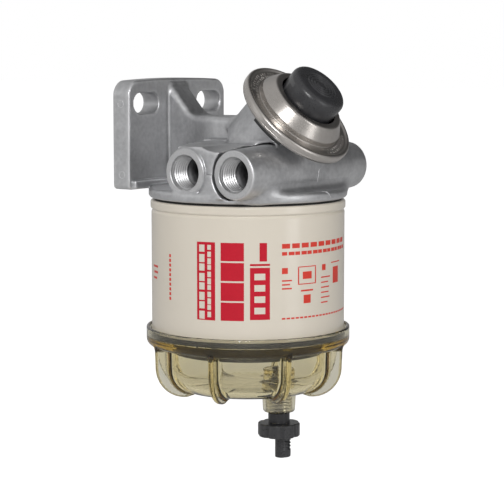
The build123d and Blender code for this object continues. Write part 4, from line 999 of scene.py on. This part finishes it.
# Print on the can as plain bars and blocks: degrees round the can from and to, height from and to
BLOCKS = (
    (-173.4, -162.0, -72.1, -114.2),
    *((-158.7, -145.3, -72.2 - 10.7 * k, -82.0 - 10.7 * k) for k in range(4)),
    (-141.9, -130.5, -85.5, -113.5),
    (-141.9, -130.5, -83.4, -84.5),
    (-136.5, -132.2, -72.2, -82.1),
)
INSETS = (
    *((-171.9, -168.5, -73.6 - 5.1 * k, -77.4 - 5.1 * k - 0.5 * (k % 2)) for k in range(8)),
    *((-166.7, -164.5, -73.6 - 3.6 * k, -76.2 - 3.6 * k - 0.3 * (k % 3)) for k in range(11)),
    *((-139.4, -133.2, -88.6 - 6.1 * k, -92.1 - 6.1 * k) for k in range(4)),
)
BARS = (
    (-123.4, -119.8, -86.0, -89.2),
    (-95.1, -91.8, -85.7, -89.0),
    *((-123.4, -117.2 - 1.2 * (k == 1), -92.5 - 2.15 * k, -93.3 - 2.15 * k) for k in range(3)),
    *((-95.9, -87.1 - 1.6 * (k % 2) - 0.5 * (k % 3), -92.4 - 2.75 * k, -93.1 - 2.75 * k) for k in range(6)),
    *((-123.4 + 6.3 * k, -118.4 + 6.3 * k, -73.0, -75.6) for k in range(9)),
    *((-123.4 + 4.15 * k, -120.2 + 4.15 * k + 0.5 * (k % 2), -77.4, -79.3) for k in range(14)),
    *((-123.4 + 2.9 * k, -121.3 + 2.9 * k, -112.9, -113.8) for k in range(21)),
    (-113.3, -112.5, -86.3, -94.9),
    (-101.0, -100.2, -86.3, -94.9),
    (-113.3, -100.2, -85.7, -86.2),
    (-113.3, -100.2, -95.0, -95.5),
    (-110.0, -103.6, -88.6, -92.6),
    (-111.2, -102.5, -98.4, -99.3),
    (-109.4, -104.3, -101.2, -105.8),
    (-86.0, -74.9, -85.2, -85.8),
    (-84.0, -77.0, -88.0, -97.0),
    (142.3, 150.5, -88.2, -89.4),
    (143.6, 150.5, -91.4, -92.6),
    (142.3, 149.0, -94.6, -95.8),
    *((164.6, 166.3, -80.4 - 2.6 * k, -82.1 - 2.6 * k) for k in range(10)),
)


def print_on_can(name, rows, look, low, height):
    """Thin blocks of print bent round the can, at its own radius plus the print's thickness."""
    blocks = [slab(*row, low, height, max(3, int((row[1] - row[0]) / 1.2) + 2), 2) for row in rows]
    swapped = placed(joined(blocks), lambda p: np.stack([p[:, 0], CAN_RADIUS + p[:, 2], p[:, 1]], 1))
    piece(name, placed(placed(swapped, bent), on_can), look, "element")


def make_element(sizes):
    """Spin-on element: its print, the skirt that shows in the bowl, the gaskets, and the can with its
    seamed bead."""
    height, sunk = sizes.print_height / MM, -0.03
    print_on_can("can_print_blocks", BLOCKS, "print", sunk, height)
    print_on_can("can_print_bars", BARS, "fine_print", sunk, height)
    print_on_can("can_print_insets", INSETS, "can_paint", 0.5 * height, 2 * height)
    skirt = box_corners(40.0, 42.1, -138.6, -110.6, 0.4, 0.3)
    can_ring("element_skirt", skirt, "rubber", "element", [], turns=160)
    gasket = box_corners(47.9, 52.05, -56.0, SEAT, 0.8, 0.8)
    can_ring("top_gasket_ring", gasket, "rubber", "element_seal", ["top_gasket"])
    inner, thin, bulge = 52.2, 53.2, 54.5
    bead_end, neck = CAN_TOP - 4.4, CAN_TOP - 5.8
    can = [
        (inner, CAN_TOP, 0.3),
        (bulge, CAN_TOP, 1.2),
        (bulge, bead_end, 1.2),
        (53.3, bead_end - 0.7, 0.35),
        (CAN_RADIUS, neck - 0.7, 0.35),
        (CAN_RADIUS, CAN_BOTTOM, 0.3),
        (thin, CAN_BOTTOM, 0.3),
        (thin, neck - 0.7, 0.3),
        (inner, bead_end - 0.7, 0.3),
    ]
    can_ring("can_shell_painted", can, "can_paint", "element", ["can_shell"], turns=320)
    gasket = box_corners(50.8, 54.95, BOWL_FLOOR, CAN_BOTTOM, 0.7, 0.7)
    can_ring("bowl_gasket_ring", gasket, "rubber", "bowl_seal", ["bowl_gasket"])


def make_bowl(sizes):
    """Clear bowl, and the thread in its drain boss."""
    reach = 59
    low, high = (-reach, CAN_Y - reach, -176), (reach, CAN_Y + reach, -113.5)
    points, faces, normals = skin(bowl_field, low, high, sizes.skin_step / MM)
    replaced = ["bowl_rim", "bowl", "bowl_boss", "bowl_fins"]
    piece("bowl_moulded", (points, faces), "clear_plastic", "bowl", replaced, normals)
    crest, back, top, end = 7.1, 7.55, -156.1, -173.9
    rows = np.arange(-172.8, -157.0, DRAIN_PITCH / 10)
    line, threaded = thread_line([[back, top], [back, end], [crest, end]], crest, rows, [[crest, top]])
    thread = placed(turned(line, 96, screw(threaded, DRAIN_PITCH, 0.85)), on_drain)
    piece("bowl_boss_thread", thread, "clear_plastic", "bowl")


def make_drain():
    """Drain valve: a threaded nose, a knob with eight lobes, and a hose barb beside their axis. The
    flutes between the lobes are the cosine of eight times the angle, cut off below and squared. The
    barb's teeth fade out on the far side."""
    knob_top, knob_end = BOSS_END - 6.2, BOSS_END - 13.8
    threads = [
        (radius, -154.8 - DRAIN_PITCH * k - drop, 0.3)
        for k in range(11)
        for radius, drop in ((6.1, 0.0), (6.1, 0.7), (5.3, 1.0), (5.3, 1.4))
    ]
    nose = [(0, -148.0), (3.85, -148.0, 0.9), (3.85, -149.9, 0.1), (2.7, -149.9, 0.1), (2.7, -151.3, 0.1)]
    knob = [(6.1, -174.6, 0.3), (6.1, knob_top, 0.5), (11.9, knob_top, 0.8), (11.9, knob_end, 0.8)]
    inside = [(4.6, knob_end, 0.4), (4.6, knob_end + 1.0), (0, knob_end + 1.0)]
    shoulder = [(3.85, -151.3, 0.1), (3.85, -154.8, 0.2)]
    outer = outline(nose + shoulder + threads + knob + inside, 7)
    lobed = np.clip((outer[:, 0] - 7.0) / 3.5, 0, 1)

    def lobes(radius, height, angle):
        flute = np.maximum(np.cos(8 * angle), -0.2) + 0.2
        return radius - 0.95 * lobed[:, None] * (flute / 1.2) ** 2

    end, root = knob_end - 12.2, 4.5
    steps = [
        corner
        for ledge, under in ((9.8, 9.7), (7.9, 7.8), (6.0, 5.9))
        for corner in ((root, end + ledge, 0.1), (3.6, end + under, 0.2))
    ]
    tip = [(4.45, end + 4.1, 0.3), (4.4, end, 0.8), (1.8, end, 0.3), (1.8, end + 11.0), (0, end + 11.0)]
    stem = outline([(0, knob_end + 2.0), (root, knob_end + 2.0), *steps, *tip], 5)
    toothed = stem[:, 0] > 2.5

    def teeth(radius, height, angle):
        here = np.where(toothed[:, None], root, radius)
        return here + (radius - here) * np.clip(np.cos(angle - DRAIN_TURN) * 2.2 + 0.4, 0, 1)

    aside = 2.3
    offset = np.array([aside * cos(DRAIN_TURN), aside * sin(DRAIN_TURN), 0])
    body = placed(turned(outer, 192, lobes), on_drain)
    barb = placed(turned(stem, 96, teeth), lambda p: on_drain(p) + offset)
    piece("drain_valve_moulded", joined([body, barb]), "black_plastic", "drain_valve", ["drain_valve"])


def dress_hidden_nodes():
    """Gives every CAD node that still shows its finish, by the slot that the record names for it."""
    slots = {part["node"]: part["material_slot"] for part in frame["record"]["subparts"]}
    for name, node in frame["nodes"].items():
        if not node.hide_render:
            node.data.materials.clear()
            node.data.materials.append(finishes[slots[name]])


# Stage


def place_object(name, data, right, up, back, place):
    """An object in the scene, with its three axes and its place."""
    thing = bpy.data.objects.new(name, data)
    bpy.context.scene.collection.objects.link(thing)
    rows = [[right[i], up[i], back[i], place[i]] for i in range(3)]
    thing.matrix_world = Matrix(rows + [[0, 0, 0, 1]])
    return thing


def make_camera():
    """Camera as in the photo: to the left of the front, a little above, at a distance from a point inside
    the can. Returns the ways that its picture's right, its top and its back face, and the point, in
    metres."""
    turn, dip, distance = radians(53.12), radians(6.293), 1016.8
    focal_length, picture_width, sensor = 1812.65, 504, 36
    back = np.array([-sin(turn) * cos(dip), -cos(turn) * cos(dip), sin(dip)])
    right = np.array([cos(turn), -sin(turn), 0])
    up = np.array([sin(turn) * sin(dip), cos(turn) * sin(dip), cos(dip)])
    middle = right * 2.226 + np.array([0, 0, -24.53]) + np.array([0, CAN_Y, CAN_TOP])
    data = bpy.data.cameras.new("camera")
    data.lens = focal_length / picture_width * sensor
    data.sensor_width = sensor
    data.sensor_fit = "HORIZONTAL"
    data.clip_end = 20
    data.dof.use_dof = False
    camera = place_object("camera", data, right, up, back, (middle + back * distance) * MM)
    bpy.context.scene.camera = camera
    return right, up, back, middle * MM


def soft_light(name, place, aim, size, power):
    """Rectangular area light at a place, turned so that its back points away from its aim."""
    light = bpy.data.lights.new(name, "AREA")
    light.shape = "RECTANGLE"
    light.size, light.size_y = size
    light.energy = power
    away = (place - aim) / np.linalg.norm(place - aim)
    side = np.cross([0, 0, 1], away)
    side = side / np.linalg.norm(side)
    place_object(name, light, side, np.cross(away, side), away, place)


def seen_level(tree, lighting, through, direct):
    """Strength of the floor or the sky: one value where it lights or is mirrored, one through the clear
    bowl, one where the camera sees it itself."""
    path = add_node(tree, "ShaderNodeLightPath")
    level = lighting
    for ray, value in (("Is Transmission Ray", through), ("Is Camera Ray", direct)):
        level = mixed(tree, path.outputs[ray], level, value)
    return level


def make_floor():
    """Pale floor, far wider than the part, under it."""
    height, edge = -0.26, 9.0
    mesh = bpy.data.meshes.new("floor")
    corners = [(x, y, height) for x, y in ((-edge, -edge), (edge, -edge), (edge, edge), (-edge, edge))]
    mesh.from_pydata(corners, [], [(0, 1, 2, 3)])
    floor = bpy.data.objects.new("floor", mesh)
    material = bpy.data.materials.new("Pale floor")
    material.use_nodes = True
    tree = material.node_tree
    principled = tree.nodes["Principled BSDF"]
    principled.inputs["Base Color"].default_value = (0.82, 0.82, 0.82, 1)
    principled.inputs["Roughness"].default_value = 0.9
    principled.inputs["Emission Color"].default_value = (1, 1, 1, 1)
    tree.links.new(seen_level(tree, 0.0, 0.1, 0.72), principled.inputs["Emission Strength"])
    mesh.materials.append(material)
    bpy.context.scene.collection.objects.link(floor)


def make_stage():
    """Camera, three soft lights, floor, and a white studio that darkens smoothly towards one side."""
    right, up, back, middle = make_camera()
    soft_light("key", middle + back * 0.95 + up * 0.33 - right * 0.06, middle, (0.22, 0.3), 3.6)
    soft_light("left", middle - right * 1.0 + back * 0.35 + up * 0.25, middle, (0.5, 0.9), 0.5)
    soft_light("right", middle + right * 1.0 + back * 0.75, middle, (0.35, 0.9), 2.2)
    make_floor()
    world = bpy.data.worlds.new("studio")
    bpy.context.scene.world = world
    world.use_nodes = True
    tree = world.node_tree
    dark_side = tuple(0.566 * right + 0.656 * up - 0.5 * back)
    place = add_node(tree, "ShaderNodeTexCoord").outputs["Generated"]
    way = add_node(tree, "ShaderNodeVectorMath", {0: place, 1: dark_side}, operation="DOT_PRODUCT")
    studio = add_node(
        tree,
        "ShaderNodeMapRange",
        {"Value": way.outputs["Value"], "From Min": 0.5, "From Max": 0.95, "To Min": 0.58, "To Max": 0.07},
        interpolation_type="SMOOTHSTEP",
    )
    level = seen_level(tree, studio.outputs["Result"], 0.40, 1.0)
    tree.links.new(level, tree.nodes["Background"].inputs["Strength"])
    tree.nodes["Background"].inputs["Color"].default_value = (1, 1, 1, 1)
    bpy.context.scene.view_settings.view_transform = "Standard"


# Operators, panel and registration


class SEPARATOR_OT_finishes(bpy.types.Operator):
    """Makes every material of the separator"""

    bl_idname = "separator.finishes"
    bl_label = "Make finishes"

    def execute(self, context):
        scene = context.scene
        make_finishes(
            tuple(scene.separator_element.paint),
            tuple(scene.separator_element.print_colour),
            tuple(scene.separator_bowl.plastic),
        )
        return {"FINISHED"}


class SEPARATOR_OT_head(bpy.types.Operator):
    """Makes the die-cast head, its port threads, its marks, its plugs and the element's nipple"""

    bl_idname = "separator.head"
    bl_label = "Make head"

    def execute(self, context):
        make_head(context.scene.separator_head)
        return {"FINISHED"}


class SEPARATOR_OT_pump(bpy.types.Operator):
    """Makes the pump's pressed cover, its diaphragm and spring, and its button"""

    bl_idname = "separator.pump"
    bl_label = "Make pump"

    def execute(self, context):
        make_pump(context.scene.separator_pump)
        return {"FINISHED"}


class SEPARATOR_OT_element(bpy.types.Operator):
    """Makes the spin-on element's can, its print, its skirt and the two gaskets"""

    bl_idname = "separator.element"
    bl_label = "Make element"

    def execute(self, context):
        make_element(context.scene.separator_element)
        return {"FINISHED"}


class SEPARATOR_OT_bowl(bpy.types.Operator):
    """Makes the clear bowl and the drain valve"""

    bl_idname = "separator.bowl"
    bl_label = "Make bowl"

    def execute(self, context):
        make_bowl(context.scene.separator_bowl)
        make_drain()
        return {"FINISHED"}


class SEPARATOR_OT_inside(bpy.types.Operator):
    """Gives the CAD nodes inside the part their finishes"""

    bl_idname = "separator.inside"
    bl_label = "Finish inner pieces"

    def execute(self, context):
        dress_hidden_nodes()
        return {"FINISHED"}


class SEPARATOR_OT_stage(bpy.types.Operator):
    """Makes the floor, the studio light and the camera"""

    bl_idname = "separator.stage"
    bl_label = "Make stage"

    def execute(self, context):
        make_stage()
        return {"FINISHED"}


class SEPARATOR_PT_panel(bpy.types.Panel):
    """Lists the operators and the sizes in the sidebar"""

    bl_idname = "SEPARATOR_PT_panel"
    bl_label = "Fuel water separator"
    bl_space_type = "VIEW_3D"
    bl_region_type = "UI"
    bl_category = "Separator"

    def draw(self, context):
        for operator in operators:
            self.layout.operator(operator.bl_idname)
        for name in groups:
            group = getattr(context.scene, name)
            for key in group.__annotations__:
                self.layout.prop(group, key)


groups = {
    "separator_head": HeadSizes,
    "separator_pump": PumpSizes,
    "separator_element": ElementSizes,
    "separator_bowl": BowlSizes,
}
operators = [
    SEPARATOR_OT_finishes,
    SEPARATOR_OT_stage,
    SEPARATOR_OT_head,
    SEPARATOR_OT_pump,
    SEPARATOR_OT_element,
    SEPARATOR_OT_bowl,
    SEPARATOR_OT_inside,
]


def register():
    for kind in [*groups.values(), *operators, SEPARATOR_PT_panel]:
        bpy.utils.register_class(kind)
    for name, kind in groups.items():
        setattr(bpy.types.Scene, name, bpy.props.PointerProperty(type=kind))


def unregister():
    for name in groups:
        delattr(bpy.types.Scene, name)
    for kind in reversed([*groups.values(), *operators, SEPARATOR_PT_panel]):
        bpy.utils.unregister_class(kind)


def main():
    register()
    for operator in operators:
        section, step = operator.bl_idname.split(".")
        getattr(getattr(bpy.ops, section), step)()


if __name__ == "__main__":
    main()
